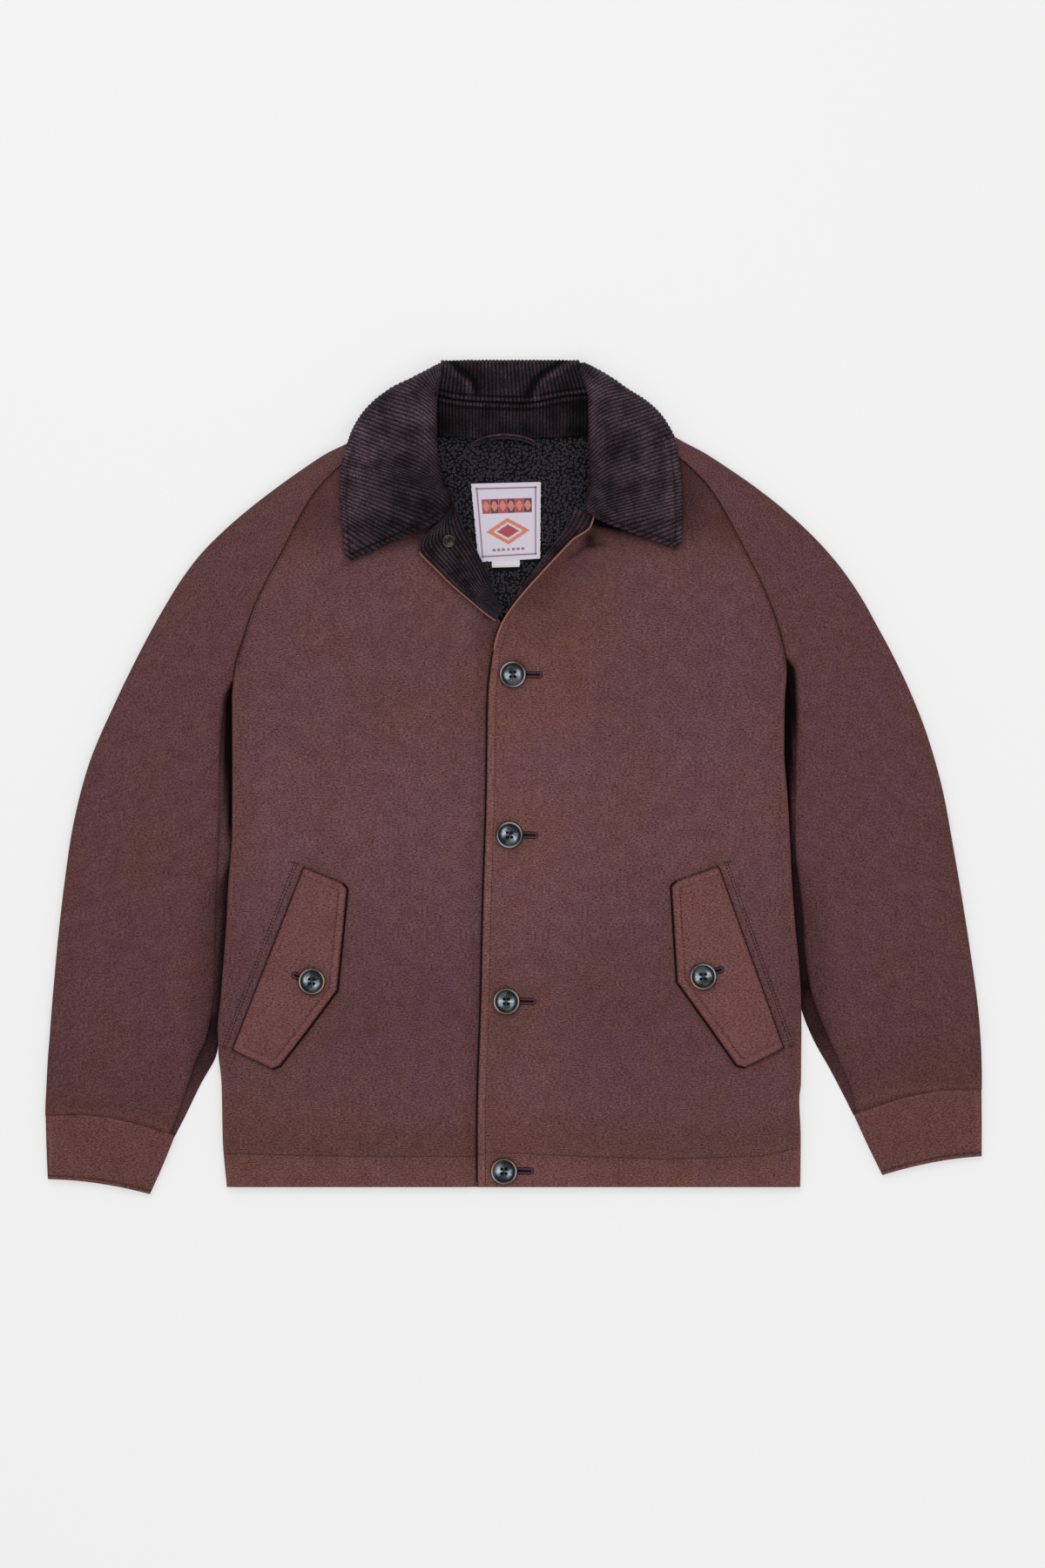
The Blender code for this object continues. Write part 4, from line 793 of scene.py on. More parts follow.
def cuff_ring(side, t, turn, inset=0.0):
    """A point of the cuff's face; turn runs round the sleeve, 0 at its inner fold."""
    row = along(cuffs[side], t)
    start, end = row[..., 0:2], row[..., 2:4]
    half = 0.5 * np.linalg.norm(end - start, axis=-1)
    run = (end - start) / (2 * half[..., None])
    out = np.sign(np.cos(turn)) * np.abs(np.cos(turn)) ** 0.55 * (half - inset)
    high = np.sign(np.sin(turn)) * np.abs(np.sin(turn)) ** 0.45
    z = row[..., 5] * 0.5 + high * (0.5 * row[..., 5] - inset)
    place = 0.5 * (start + end) + run * out[..., None]
    bend = row[..., 4] * (1 - (out / half) ** 2)
    return np.stack([place[..., 0], place[..., 1] + bend, z], -1)


turn = -0.5 * math.pi + np.linspace(0, 2 * math.pi, 97)[None, :-1]
for side, name in both_sides:
    t = np.concatenate([np.linspace(0, 0.06, 5), np.linspace(0.09, 0.84, 18),
                        np.linspace(0.86, 1, 9)])[:, None]
    t, around = np.broadcast_arrays(t, turn)
    outer, inner = cuff_ring(side, t, around), cuff_ring(side, t, around, cuff_wall)
    x, y = outer[..., 0], outer[..., 1]
    from_top, from_hem = t * cuff_depth, (1 - t) * cuff_depth
    puff = (-0.6 * (1 - rounding(from_top + 0.2, 2.0)) - 0.7 * (1 - rounding(from_hem + 0.1, 2.0))
            - 0.35 * bell(from_hem - cuff_stitch, 2.6) + 0.10 * unevenness(x, y, 8, 41)
            + 0.40 * unevenness(x, y, 30, 42) + 0.22 * unevenness(x, y, 14, 43))
    outer[..., 2] += (outer[..., 2] > 4) * puff
    worn = 0.5 + 0.5 * np.exp(-from_hem / 9) + 0.5 * np.exp(-from_top / 5)
    from_outer = 54 * (1 + np.sign(np.cos(around)) * np.abs(np.cos(around)) ** 0.55)
    # Painted shade in the top seam and the hem's stitches; painted light along the lower edge,
    # below the top seam and in a line inside the outer fold
    shade = (0.07 + 0.25 * bell(from_top - 1.2, 2) + 0.34 * bell(from_hem - cuff_stitch, 2.2)
             - 0.14 * bell(from_hem - 2, 3) - 0.16 * bell(from_top - 3.2, 3)
             - 0.25 * bell(from_outer - 4, 3.5))
    cuff = cloth("cuff_cloth_" + name, outer, inner, trim_cloth, ring=True, worn=worn,
                 shade=shade)
    sewn_in(cuff, "waxed_cotton_trim", "cuff_" + name)

# --- Collar --------------------------------------------------------------------------------
# A turned-down collar of corduroy over an under-collar of the waxed cloth.  It is one piece cut
# on the fold; it stands round the neck, rolls over and falls to two points.  At the back its
# fall is folded under the neck.

leaf_wales = 56
wale_steps = 8
wale_rise = 0.5
leaf_top = 3.9
collar_stitch = 6.5

# Leaves, top fold to point, each row the run of a wale.
# columns: outer x, y; inner x, y; height of the outer edge; 1 where the inner end is the roll;
# height of its crest
leaves = {
    -1: np.array((
        (-67.6, 379.6, -66.0, 367.0, 3.7, 1, 17), (-89.2, 368.4, -68.4, 354.8, 3.7, 1, 20.5),
        (-113.2, 356.4, -70.0, 340.4, 3.7, 1, 24), (-132.4, 341.2, -70.0, 319.6, 3.7, 1, 26.5),
        (-145.2, 323.6, -68.4, 293.2, 9, 1, 27), (-152.4, 305.2, -62.8, 268.4, 18, 1, 27),
        (-157.2, 287.6, -56.4, 255.6, 20, 0.8, 27), (-158.8, 268.4, -66.8, 235.6, 20, 0.2, 27),
        (-158.8, 250.8, -97.2, 220.4, 20, 0, 27), (-157.2, 231.6, -122.0, 209.2, 20, 0, 27),
        (-154.8, 202.8, -147.6, 198.0, 20, 0, 27))),
    1: np.array((
        (64.4, 380.4, 59.6, 370.8, 3.7, 1, 17), (86.0, 369.2, 64.4, 361.2, 3.7, 1, 20),
        (106.0, 355.6, 68.4, 346.8, 3.7, 1, 23.5), (124.4, 343.6, 69.2, 326.0, 3.7, 1, 26.5),
        (138.0, 329.2, 69.2, 303.6, 8, 1, 27), (148.4, 309.2, 69.2, 281.2, 18, 1, 27),
        (151.6, 289.2, 67.6, 261.2, 20, 1, 27), (154.0, 270.8, 66.0, 245.2, 20, 0.6, 27),
        (154.8, 253.2, 80.4, 234.0, 20, 0, 27), (154.8, 235.6, 116.4, 220.4, 20, 0, 27),
        (154.0, 214.0, 147.6, 209.2, 20, 0, 27)))}


def corduroy_cloth(name, rib, groove):
    """Cotton corduroy: matt pile ribs that catch a little light, and grooves between them painted
    almost black as shade."""
    material, tree, shader = new_material(name, rib, 0.85, 0.08, 0.05)
    shader.inputs["Sheen Roughness"].default_value = 0.4
    place = add(tree, "ShaderNodeTexCoord").outputs["Object"]
    level = spread(tree, noise(tree, place, 55.0, 5.0, 0.62), 0.33, 0.65, 0.30, 1.15)
    lit = computed(tree, "MULTIPLY", painted(tree, "wale"), level, clamp=True)
    base = mixed(tree, lit, linear(groove), linear(rib))
    fluff = noise(tree, place, 760.0, 1.0)
    tone = spread(tree, fluff, 0.3, 0.7, 0.45, 1.55)
    # The shade mark is painted shade, painted light where below 0
    kept = computed(tree, "SUBTRACT", 1.0, painted(tree, "shade"))
    shaded = dimmed(tree, base, computed(tree, "MULTIPLY", tone, kept))
    tree.links.new(shaded, shader.inputs["Base Color"])
    bumped(tree, shader, fluff, 0.4, 0.0003)
    return material


corduroy = corduroy_cloth("dark_corduroy", "#54434C", "#050405")


def ribs(phase):
    """Profile of the wales: 0 in the grooves, 1 on the ribs, one rib a unit of phase."""
    return 1.0 - np.abs(2.0 * (phase - np.floor(phase)) - 1.0) ** 1.9


def ribbed(name, sheet, phase, thickness, step, finish, depth=1.0, shade=0.0):
    """A wall of corduroy; its ribs follow the phase, which is a number of wales."""
    profile = ribs(phase) * (0.82 + 0.18 * unevenness(sheet[..., 0], sheet[..., 1], 14, 61))
    rise = wale_rise * (2.2 * profile - 1.1) * depth
    outer = sheet + normals(sheet) * rise[..., None]
    return cloth(name, outer, wall(sheet, thickness)[::step], finish, wale=profile,
                 shade=np.clip(shade + 0 * profile, -0.8, 0.92))


def cloth_below(x, y, side):
    """Level that clears the highest cloth under the collar."""
    inside = ease((np.abs(body_edge(y, side)) - np.abs(x)) / 5)
    return lerp(14.2, np.maximum(front_height(x, y), 13.4) + 1.2, inside)


def leaf_sheet(side, t, u):
    """Points of a leaf's mean face, and distances from its outer and its inner edge."""
    ox, oy, ix, iy, edge_z, roll, crest = (column[..., None] for column in
                                           along(leaves[side], t).T)
    roll = np.clip(roll, 0, 1)
    reach = np.hypot(ox - ix, oy - iy)
    x, y = lerp(ox, ix, u), lerp(oy, iy, u)
    from_outer, from_inner = reach * u, reach * (1 - u)
    on_cloth = cloth_below(ox, oy, side) + leaf_top
    folded = ease((on_cloth - 1 - edge_z) / 6)
    inner_z = lerp(cloth_below(ix, iy, side) + leaf_top, crest, ease(roll))
    z = np.maximum(lerp(on_cloth, inner_z, u ** 1.4), cloth_below(x, y, side) + leaf_top)
    outer_width = lerp(np.minimum(1.6, 0.2 * reach), np.minimum(13, 0.45 * reach), folded)
    outer_z = lerp(on_cloth - 1.2, edge_z, folded)
    inner_width = lerp(np.minimum(1.6, 0.2 * reach), np.minimum(6, 0.4 * reach), roll)
    inner_rim = inner_z - lerp(1.2, 5, roll)
    z = lerp(outer_z, z, rounding(from_outer, outer_width))
    z = lerp(inner_rim, z, rounding(from_inner, inner_width))
    return grid(x, y, z), from_outer, from_inner, roll + 0 * x


leaf_stitches = []
for side, name in both_sides:
    t = np.linspace(0, 1, wale_steps * leaf_wales + 1)
    sheet, from_outer, from_inner, roll = leaf_sheet(side, t, crowded(47)[None, :])
    x, y = sheet[..., 0], sheet[..., 1]
    free = 1 - ease(roll / 0.5)
    from_tip = np.cumsum(np.concatenate([[0], np.hypot(*np.diff(sheet[::-1, 0, :2], axis=0).T)]))
    from_tip = from_tip[::-1, None] + 0 * x
    t = t[:, None]
    folded = ease((t - 0.42) / 0.12)
    # The rows of stitches sink in a groove along each free edge
    groove = np.maximum(bell(from_outer - collar_stitch, stitch_groove) * folded,
                        bell(from_inner - collar_stitch, stitch_groove) * free)
    groove = np.maximum(groove, bell(from_tip - 6.0, stitch_groove)) * ease((from_tip - 4.5) / 2)
    groove = groove * ease((from_inner - 4.5) / 2 + roll) * ease((from_outer - 4.5) / 2)
    sheet[..., 2] -= 0.5 * groove
    sheet[..., 2] += 0.35 * unevenness(x, y, 26, 63) * rounding(from_outer, 12) * free
    # The wales bend down where they pass over the roll
    phase = t * leaf_wales + 0.10 * unevenness(x, y, 30, 62) + 0.5
    phase = phase - 2.2 * np.clip((24 - from_inner) / 24, 0, 1) ** 2 * ease(roll / 0.6)
    # Painted shade and light on each leaf below its upper third: darker towards the neck,
    #     # lighter towards its outer edge; then painted shade in the grooves, at the edges and the
    #     roll
    across = from_outer / (from_outer + from_inner)
    shade = (0.5 if side > 0 else 0.85) * (1.15 * ease(across / 0.75) - 0.48)
    shade = shade * ease((t - 0.25) / 0.28) * lerp(1, 0.6, ease((t - 0.8) / 0.2))
    shade = shade + (0.75 * groove + 0.4 * bell(np.minimum(from_outer, from_tip), 2) * folded
                     + 0.35 * ease((5 - from_inner) / 5) * ease((roll - 0.5) / 0.4))
    leaf = ribbed("corduroy_leaf_" + name, sheet, phase, 1.5, wale_steps, corduroy, shade=shade)
    sewn_in(leaf, "corduroy", "collar_leaf_" + name)
    under = sheet[t[:, 0] > 0.45][::wale_steps]
    lower = cloth("under_collar_cloth_" + name, wall(under, 2.6), wall(under, 3.7), body_cloth,
                  worn=0.5)
    sewn_in(lower, "waxed_cotton", "under_collar_" + name)
    leaf_stitches.append((sheet, from_outer, from_inner, from_tip, roll))
    # The stand along the side of the neck, under the roll
    rows = along(leaves[side], np.linspace(0.19, 0.53, 24))
    run = unit(rows[:, 0:2] - rows[:, 2:4])[:, None, :]
    up = np.linspace(0, 1, 6)[None, :]
    place = rows[:, None, 2:4] + run * lerp(2.0, 0.7, up)[..., None]
    face = np.concatenate([place, lerp(13.3, rows[:, None, 6:] - 6.0, up[..., None])], -1)
    back_face = face + np.concatenate([run * 1.8, 0 * run[..., :1]], -1)
    # The wale mark of 0.2 paints it mostly groove-black: painted shade under the roll
    stand = cloth("corduroy_stand_" + name, face, back_face, corduroy, wale=0.2)
    sewn_in(stand, "corduroy", "collar_stand_" + name)

# The fall at the back, folded under the neck
x = np.linspace(-146, 141, 60)[:, None]
fold_y, free_y = read(back_fall, x, 1), read(back_fall, x, 2)
u = crowded(13)[None, :]
outer = grid(x, lerp(fold_y, free_y, u), 1.2 * (1 - rounding((fold_y - free_y) * u, 2.0)))
hidden_fall = cloth("corduroy_fall", outer, wall(outer, -1.9), corduroy, wale=0.5)
sewn_in(hidden_fall, "corduroy", "collar_fall_back")

# --- Neck ----------------------------------------------------------------------------------
# Inside the neck the stand's corduroy is folded over at the top and joined to the neck facing
# by a seam stitched down on both sides.  The facing's wales run down too.

stand_wales, facing_wales = 38, 46
stand_top_y = 382.4
lining_top = 11.5
# columns: x, y of the seam of stand and neck facing, y of the facing's lower edge
neck_seam = np.array(((-72, 350.0, 313), (-55, 346.0, 311), (-39, 344.2, 310), (-8, 342.8, 309),
                      (8, 342.4, 309), (24, 344.0, 310), (40, 347.2, 311), (56, 349.6, 312),
                      (72, 350.8, 313)))
# Pleats that the collar's fold pushes into the stand: ridges, each with a valley beside it on
# the side of the centre.  x, y along each ridge
pleats = (
    (5.5, ((-66.0, 380.4), (-61.2, 377.2), (-55.6, 370.8), (-47.6, 365.2), (-42.0, 360.4),
           (-39.6, 353.0))),
    (-5.5, ((57.4, 382.0), (48.4, 377.2), (42.8, 373.2), (32.4, 366.8), (26.0, 361.2),
            (22.8, 353.2), (19.6, 346.8))))

phase = np.linspace(0, stand_wales, wale_steps * stand_wales + 1)[:, None]
u = np.concatenate([0.30 * np.linspace(0, 1, 13) ** 1.6, np.linspace(0.30, 1, 28)[1:]])[None, :]
share = phase / stand_wales
x = lerp(lerp(-66.5, 60.5, share), lerp(-71.5, 70.5, share), u)
seam_y = read(neck_seam, x, 1)
y = lerp(stand_top_y - 0.6 * (np.abs(x) / 60) ** 3, seam_y + 0.3, u)
z = lerp(13.6, 11.0, ease((y - seam_y) / 26))
z = z + 4.5 * ease((np.abs(x) - 48) / 17) * bell(y - 368, 34)
# Painted shade: the stand dark all over, darker at its sides under the collar's rolls, with
# painted light along its top fold
shade = 0.56 + 0.15 * ease((np.abs(x + 3) - 30) / 26) - 0.2 * bell(y - stand_top_y, 14)
for beside, path in pleats:
    path = np.array(path)
    ridge = away_from(path, x, y)
    valley = away_from(path + (beside, 0.4 * abs(beside)), x, y)
    z = z + 3.0 * bell(ridge, 9) - 2.2 * bell(valley, 8)
    # Painted light on each ridge and painted shade in its valley
    shade = shade - 0.50 * bell(ridge, 7) + 0.6 * bell(valley, 7)
# The seam's allowance makes a low ridge beside the seam, with painted light on it and painted
# # shade in a line on each side
above = y - seam_y
z = z + 0.9 * bell(above - 2.6, 2.6) + 0.25 * unevenness(x, y, 22, 66)
shade = shade + (0.5 * bell(above, 2.2) - 0.35 * bell(above - 2.6, 2.4)
                 + 0.45 * bell(above - 5.4, 2.4))
z = lerp(3.3, z, rounding(stand_top_y - y, 9.0))
stand = ribbed("corduroy_stand_back", grid(x, y, z), phase + 0.05 * unevenness(x, y, 20, 67),
               2.4, wale_steps, corduroy, shade=shade)
sewn_in(stand, "corduroy", "collar_stand_back")

phase = np.linspace(0, facing_wales, wale_steps * facing_wales + 1)[:, None]
x = lerp(-71.5, 70.5, phase / facing_wales)
low_y, seam_y = read(neck_seam, x, 2), read(neck_seam, x, 1) - 0.3
y = lerp(low_y, seam_y, np.linspace(0, 1, 32)[None, :])
below = seam_y - y
z = (lining_top + 2.1 + 0.35 * unevenness(x, y, 24, 68) + 0.9 * bell(below - 2.8, 2.4)
     - 0.7 * (1 - rounding(y - low_y, 1.5)) - 0.5 * bell(y - low_y - 2.2, 2.0))
# Painted shade: the facing dark all over and unevenly, darker at its sides under the rolls; at the
# seam, painted light on the allowance's ridge and painted shade in a line each side
shade = (0.65 + 0.22 * ease((np.abs(x + 2) - 34) / 30) + 0.12 * unevenness(x, y, 30, 70)
         + 0.4 * bell(below, 2.0) - 0.45 * bell(below - 2.8, 2.2) + 0.4 * bell(below - 5.6, 2.4))
facing = ribbed("corduroy_neck_facing", grid(x, y, z), phase + 0.06 * unevenness(x, y, 20, 69),
                1.6, wale_steps, corduroy, shade=shade)
sewn_in(facing, "corduroy", "neck_facing")

# --- Lapel and left facing -----------------------------------------------------------------
# The right front's top turns back over itself and shows the front facing of corduroy, with
# the waxed cloth as a narrow edge.  Inside the left front's neck edge the facing shows too.

lapel_wales = 12
lapel_stitch = 6.0
# columns: x, y of the fold; x, y of the free edge, gorge to lap
lapel = np.array((
    (-55.6, 252.0, -66.4, 234.2), (-50.8, 241.2, -80.4, 221.0), (-46.8, 230.2, -86.0, 209.8),
    (-42.8, 222.0, -82.6, 202.5), (-33.2, 206.0, -69.2, 189.2), (-24.8, 188.4, -56.4, 176.4),
    (-18.4, 171.0, -37.6, 160.4), (-14.2, 160.6, -24.8, 149.6), (-10.0, 152.6, -15.4, 143.2)))
# columns: x, y of the edge that shows; x, y of the edge tucked under the front
left_facing = np.array(((-8.6, 150.6, -2.0, 144.0), (7.0, 173.6, 14.0, 166.5),
                        (25.4, 199.0, 32.5, 190.5), (36.5, 214.0, 50.0, 208.0),
                        (49.0, 231.0, 66.5, 221.5), (56.0, 247.0, 76.0, 236.0)))


def lapel_height(x, y, near):
    """Height of the turned-back lapel, near its fold where near is 1."""
    return np.maximum(front_height(x, y), 15.0) + 2.4 + 1.6 * ease(near)


def mesh_of(name, built):
    """The mesh that a bmesh holds; the bmesh is freed."""
    mesh = bpy.data.meshes.new(name)
    built.to_mesh(mesh)
    built.free()
    return mesh


def piping(name, path, radius, finish, slot, **marks):
    """A round rolled edge of cloth along a path, closed at both ends."""
    facets = 8
    run = unit(np.gradient(path, axis=0))
    across = unit(np.cross(run, (0.0, 0.0, 1.0)))
    up = np.cross(across, run)
    turn = 2 * math.pi / facets * np.arange(facets)[:, None]
    from_start = np.arange(len(path))
    size = radius * rounding(np.minimum(from_start, from_start[::-1]) + 0.15, 3)
    circle = across[:, None] * np.cos(turn) + up[:, None] * np.sin(turn)
    rolled = bmesh.new()
    rings = [[rolled.verts.new(point * MM) for point in ring]
             for ring in path[:, None] + size[:, None, None] * circle]
    for a, b in zip(rings, rings[1:]):
        for k in range(facets):
            rolled.faces.new((a[k], a[k - 1], b[k - 1], b[k]))
    rolled.faces.new(rings[0])
    rolled.faces.new(rings[-1][::-1])
    bmesh.ops.recalc_face_normals(rolled, faces=rolled.faces)
    mesh = mesh_of(name, rolled)
    mesh.shade_smooth()
    mesh.uv_layers.new(name="cloth")
    marked(mesh, **marks)
    mesh.materials.append(finish)
    return sewn_in(placed(name, mesh), slot)


t = np.linspace(0, 1, 65)[:, None]
fx, fy, ex, ey = (column[:, None] for column in along(lapel, t[:, 0]).T)
phase = np.linspace(0, lapel_wales, wale_steps * lapel_wales + 1)[None, :]
u = phase / lapel_wales
x, y = lerp(fx, ex, u), lerp(fy, ey, u)
reach = np.hypot(fx - ex, fy - ey)
stitches = bell(reach * (1 - u) - lapel_stitch, 2.2)
z = lapel_height(x, y, 1 - u) + 0.3 * unevenness(x, y, 24, 71)
z = z - 0.6 * stitches * ease((t - 0.1) / 0.1)
z = lerp(14.2, z, rounding(reach * u, np.minimum(3.0, 0.3 * reach)))
z = z - 0.9 * (1 - rounding(reach * (1 - u), 1.5))
sheet = grid(x, y, z)
# Painted shade: the lapel darker all over, deeper in its row of stitches and towards its fold
lapel_face = ribbed("corduroy_lapel_facing", sheet, phase + 0.5, 1.5, 4, corduroy, depth=0.8,
                    shade=0.42 + 0.3 * stitches + 0.25 * bell(u, 0.5))
sewn_in(lapel_face, "corduroy", "lapel_facing_right")
# The waxed cloth's edge, from the lapel's corner down to the lap
below_corner = ey[:, 0] < 207
lapel_edge = sheet[:, -1][below_corner] + (0, 0, -0.5)
lapel_edge[:, :2] += 0.8 * unit(np.concatenate([ex - fx, ey - fy], axis=1)[below_corner])
piping("lapel_edge_cloth", lapel_edge, 0.75, body_cloth, "waxed_cotton", worn=1.8)

y = np.linspace(116, 252, 90)
x = read(centre_edges, y, 1)
front_edge = grid(x, y, front_height(x, y) - 0.5)
piping("front_edge_cloth", front_edge, 0.8, body_cloth, "waxed_cotton", worn=1.9)
# Below the lap a thin roll of cloth painted near black lies along the placket's edge: a
# # painted shadow line
y = np.linspace(hem_y + 4, 110, 160)
x = read(centre_edges, y, 1) - 0.5
placket_shadow_line = grid(x, y, front_height(x, y) - 2.0)
piping("placket_painted_shadow_line", placket_shadow_line, 0.9, body_cloth, "waxed_cotton", shade=0.9)

t = np.linspace(0, 1, 60)
sx, sy, tx, ty = (column[:, None] for column in along(left_facing, t).T)
u = np.linspace(0, 1, 33)[None, :]
x, y = lerp(sx, tx, u), lerp(sy, ty, u)
z = lerp(14.9, 13.3, ease(u)) - 0.7 * (1 - rounding(np.hypot(x - sx, y - sy), 1.4))
# Painted shade, deeper towards the edge tucked under the front
sliver = ribbed("corduroy_front_facing", grid(x, y, z), 5 * u + 0 * x, 1.2, 1, corduroy,
                depth=0.6, shade=0.32 + 0.3 * u)
sewn_in(sliver, "corduroy", "front_facing_left")

# --- Hanger loop, label and size tab -------------------------------------------------------
# A narrow strip of corduroy arched over the facing's lower edge, its ends sewn down.  Below it
# a woven label with a border, a band and a lozenge lies on the pile, then a small white tab.

loop_x, loop_y, loop_width, loop_rise, loop_band = -8.0, 304.6, 54.0, 7.0, 5.0
t = np.linspace(0, 1, 49)[:, None]
u = np.linspace(-1, 1, 13)[None, :]
arch = np.sin(math.pi * t)
z = lining_top + 4.1 + 0.8 * arch + 0.5 * np.sqrt(1 - 0.98 * u ** 2) - 0.15 * bell(u - 0.6, 0.3)
outer = grid(loop_x + loop_width * (t - 0.5),
             loop_y + loop_rise * arch ** 0.6 + 0.5 * loop_band * u, z)
# Painted light along the loop's upper ridge, painted shade over the rest, darkest below its middle
loop = cloth("corduroy_hanger_loop", outer, wall(outer, 1.2), corduroy, wale=0.75,
             shade=0.6 - 0.6 * bell(u - 0.75, 0.5) + 0.4 * bell(u + 0.1, 0.4))
sewn_in(loop, "corduroy", "hanger_loop")


def woven(name, face, sheen, yarns):
    """Damask satin of a woven label: smooth, a little silky, with fine ribs across and its
    pattern in coloured yarns, each where its own attribute says."""
    material, tree, shader = new_material(name, face, 0.55, 0.3, sheen)
    colour = linear(face)
    for yarn, dye in yarns:
        colour = mixed(tree, painted(tree, yarn), colour, linear(dye))
    place = add(tree, "ShaderNodeTexCoord").outputs["Object"]
    threads = add(tree, "ShaderNodeTexWave", {"Vector": place, "Scale": 420.0, "Distortion": 0.6},
                  bands_direction="Y")
    tone = spread(tree, threads.outputs["Fac"], 0.0, 1.0, 0.9, 1.04)
    tree.links.new(dimmed(tree, colour, tone), shader.inputs["Base Color"])
    return material


def patch(name, corners, width, length, finish, node, pattern, tucked=0.0):
    """A flat woven patch lying on the pile, a little wavy and curled, with these corners from
    the upper one on the wearer's right; pattern gives each yarn's share, and tucked is how far
    its upper part goes down."""
    across, down = np.broadcast_arrays(
        np.linspace(-0.5, 0.5, round(width / patch_step) + 1)[None, :] * width,
        np.linspace(0.5, -0.5, round(length / patch_step) + 1)[:, None] * length)
    s, t = (across / width + 0.5)[..., None], (0.5 - down / length)[..., None]
    high_right, high_left, low_left, low_right = np.array(corners, float)
    place = lerp(lerp(high_right, high_left, s), lerp(low_right, low_left, s), t)
    ragged = 0.35 * unevenness(across * 3, down * 3, 7, 83)
    x, y = place[..., 0] + ragged * (np.abs(across) > 0.49 * width), place[..., 1]
    z = lining_top + 1.0 + 0.25 * unevenness(x, y, 26, 84) - tucked * ease((down - 0.5) / 2)
    z = z - 0.5 * bell(0.5 * width - np.abs(across), 2) * (tucked == 0)
    outer = grid(x, y, z)
    made = cloth(name, outer, wall(outer, 0.5), finish, **pattern(across, down))
    sewn_in(made, "woven_label", node)


patch_step = 0.8
label_x, label_y, label_width, label_length = -6.4, 232.2, 65.0, 73.0
tab_low_y, tab_width, tab_length = 191.6, 25.6, 10.4


def label_pattern(across, down):
    """A plain border, a band of blocks with a lozenge in each, a large lozenge and dashes."""
    line = bell(np.abs(across) - 27.6, 1.3) + bell(np.abs(down) - 31.6, 1.3)
    line = line * (np.abs(across) < 28.6) * (np.abs(down) < 32.6)
    block = (np.abs(down - 15) < 7.0) * (np.abs(across) < 24)
    second = (across + 24) // 8 % 2
    in_block = (across + 24) % 8 - 4
    gem = (np.abs(in_block) / 3.2 + np.abs(down - 15) / 5.2 < 1) * block
    far = np.abs(across) / 22 + np.abs(down + 9) / 12.5
    ring, heart = (far < 1) & (far > 0.68), far < 0.52
    dash = (np.abs(down + 26) < 1.3) * (np.abs(across) < 17) * ((across + 17) % 5 < 3.2)
    return {"plum": np.clip(line + block * second + 0.8 * dash, 0, 1) * (1 - gem),
            "red": 0.95 * np.clip(block * (1 - second) + heart, 0, 1) * (1 - gem),
            "orange": 0.9 * np.clip(gem + ring, 0, 1)}


label_cloth = woven("woven_label_pale_lavender", "#CCC3D0", 0.1,
                    (("plum", "#5E3844"), ("orange", "#C8693C"), ("red", "#9E2F3A")))
patch("woven_neck_label", ((-38.8, 268.4), (25.2, 270.0), (24.6, 199.8), (-32.0, 196.4)),
      label_width, label_length, label_cloth, "neck_label", label_pattern)
tab_cloth = woven("woven_tab_white", "#D3CCD1", 0.1, (("plum", "#5E3844"),))
patch("woven_size_tab", ((-19.8, 202.0), (5.8, 202.4), (5.8, 192.2), (-19.6, tab_low_y)),
      tab_width, tab_length, tab_cloth, "size_tab",
      lambda across, down: {"plum": 0.3 * bell(down + 4.2, 0.7)}, tucked=0.8)

# --- Pile lining ---------------------------------------------------------------------------
# The body is lined with black pile, a knitted fleece of small curls.  It shows in the open
# neck only, so the curls are made there, and none under the label; each is about one turn.

curled_from_x, curled_to_x, curled_y = -90.0, 94.0, 132
y = np.concatenate([np.arange(hem_y + 35, curled_y, 14.0), np.arange(curled_y, 338, 2.0),
                    [338.0]])[:, None]
right_end, left_end = body_edge(y, -1) + 6, body_edge(y, 1) - 6
u = np.linspace(0, 1, 13)[None, :]
x = np.concatenate([lerp(right_end, np.maximum(right_end, curled_from_x), u)[:, :-1],
                    np.linspace(curled_from_x, curled_to_x, 93)[None, :] + 0 * y,
                    lerp(np.minimum(left_end, curled_to_x), left_end, u)[:, 1:]], axis=1)
x = np.clip(x, right_end, left_end)
x = x + (np.arange(x.shape[1])[None, :] - 0.5 * x.shape[1]) * 0.004
y = y + 0 * x
low = 2.9 + np.maximum(floor_lift(x, y + 16), floor_lift(x, y))
z = np.minimum(front_height(x, y) - 6.4, lining_top) + 0.6 * unevenness(x, y, 9, 51)
z = np.maximum(z, low + 1.2)
open_neck = ((x > read(centre_edges, y, 2) - 6) & (x < read(centre_edges, y, 1) + 6)
             & (y > 146) & (y < 311))
clear = (np.abs(x - label_x) > 0.5 * label_width - 1) | (np.abs(y - label_y) > 36)
clear = clear & ((np.abs(x - label_x) > 13) | (np.abs(y - tab_low_y) > 3.5))

# The knit ground is painted near black, darker than the curls: the pile's own black and painted
# shade in the gaps between them
knit, tree, shader = new_material("black_pile_lining", "#09080A", 0.95, 0.05, 0.1)
shader.inputs["Sheen Roughness"].default_value = 0.6
lining = cloth("pile_lining", grid(x, y, z), grid(x, y, low), knit, curls=open_neck & clear)
sewn_in(lining, "pile_lining", "back_lining")


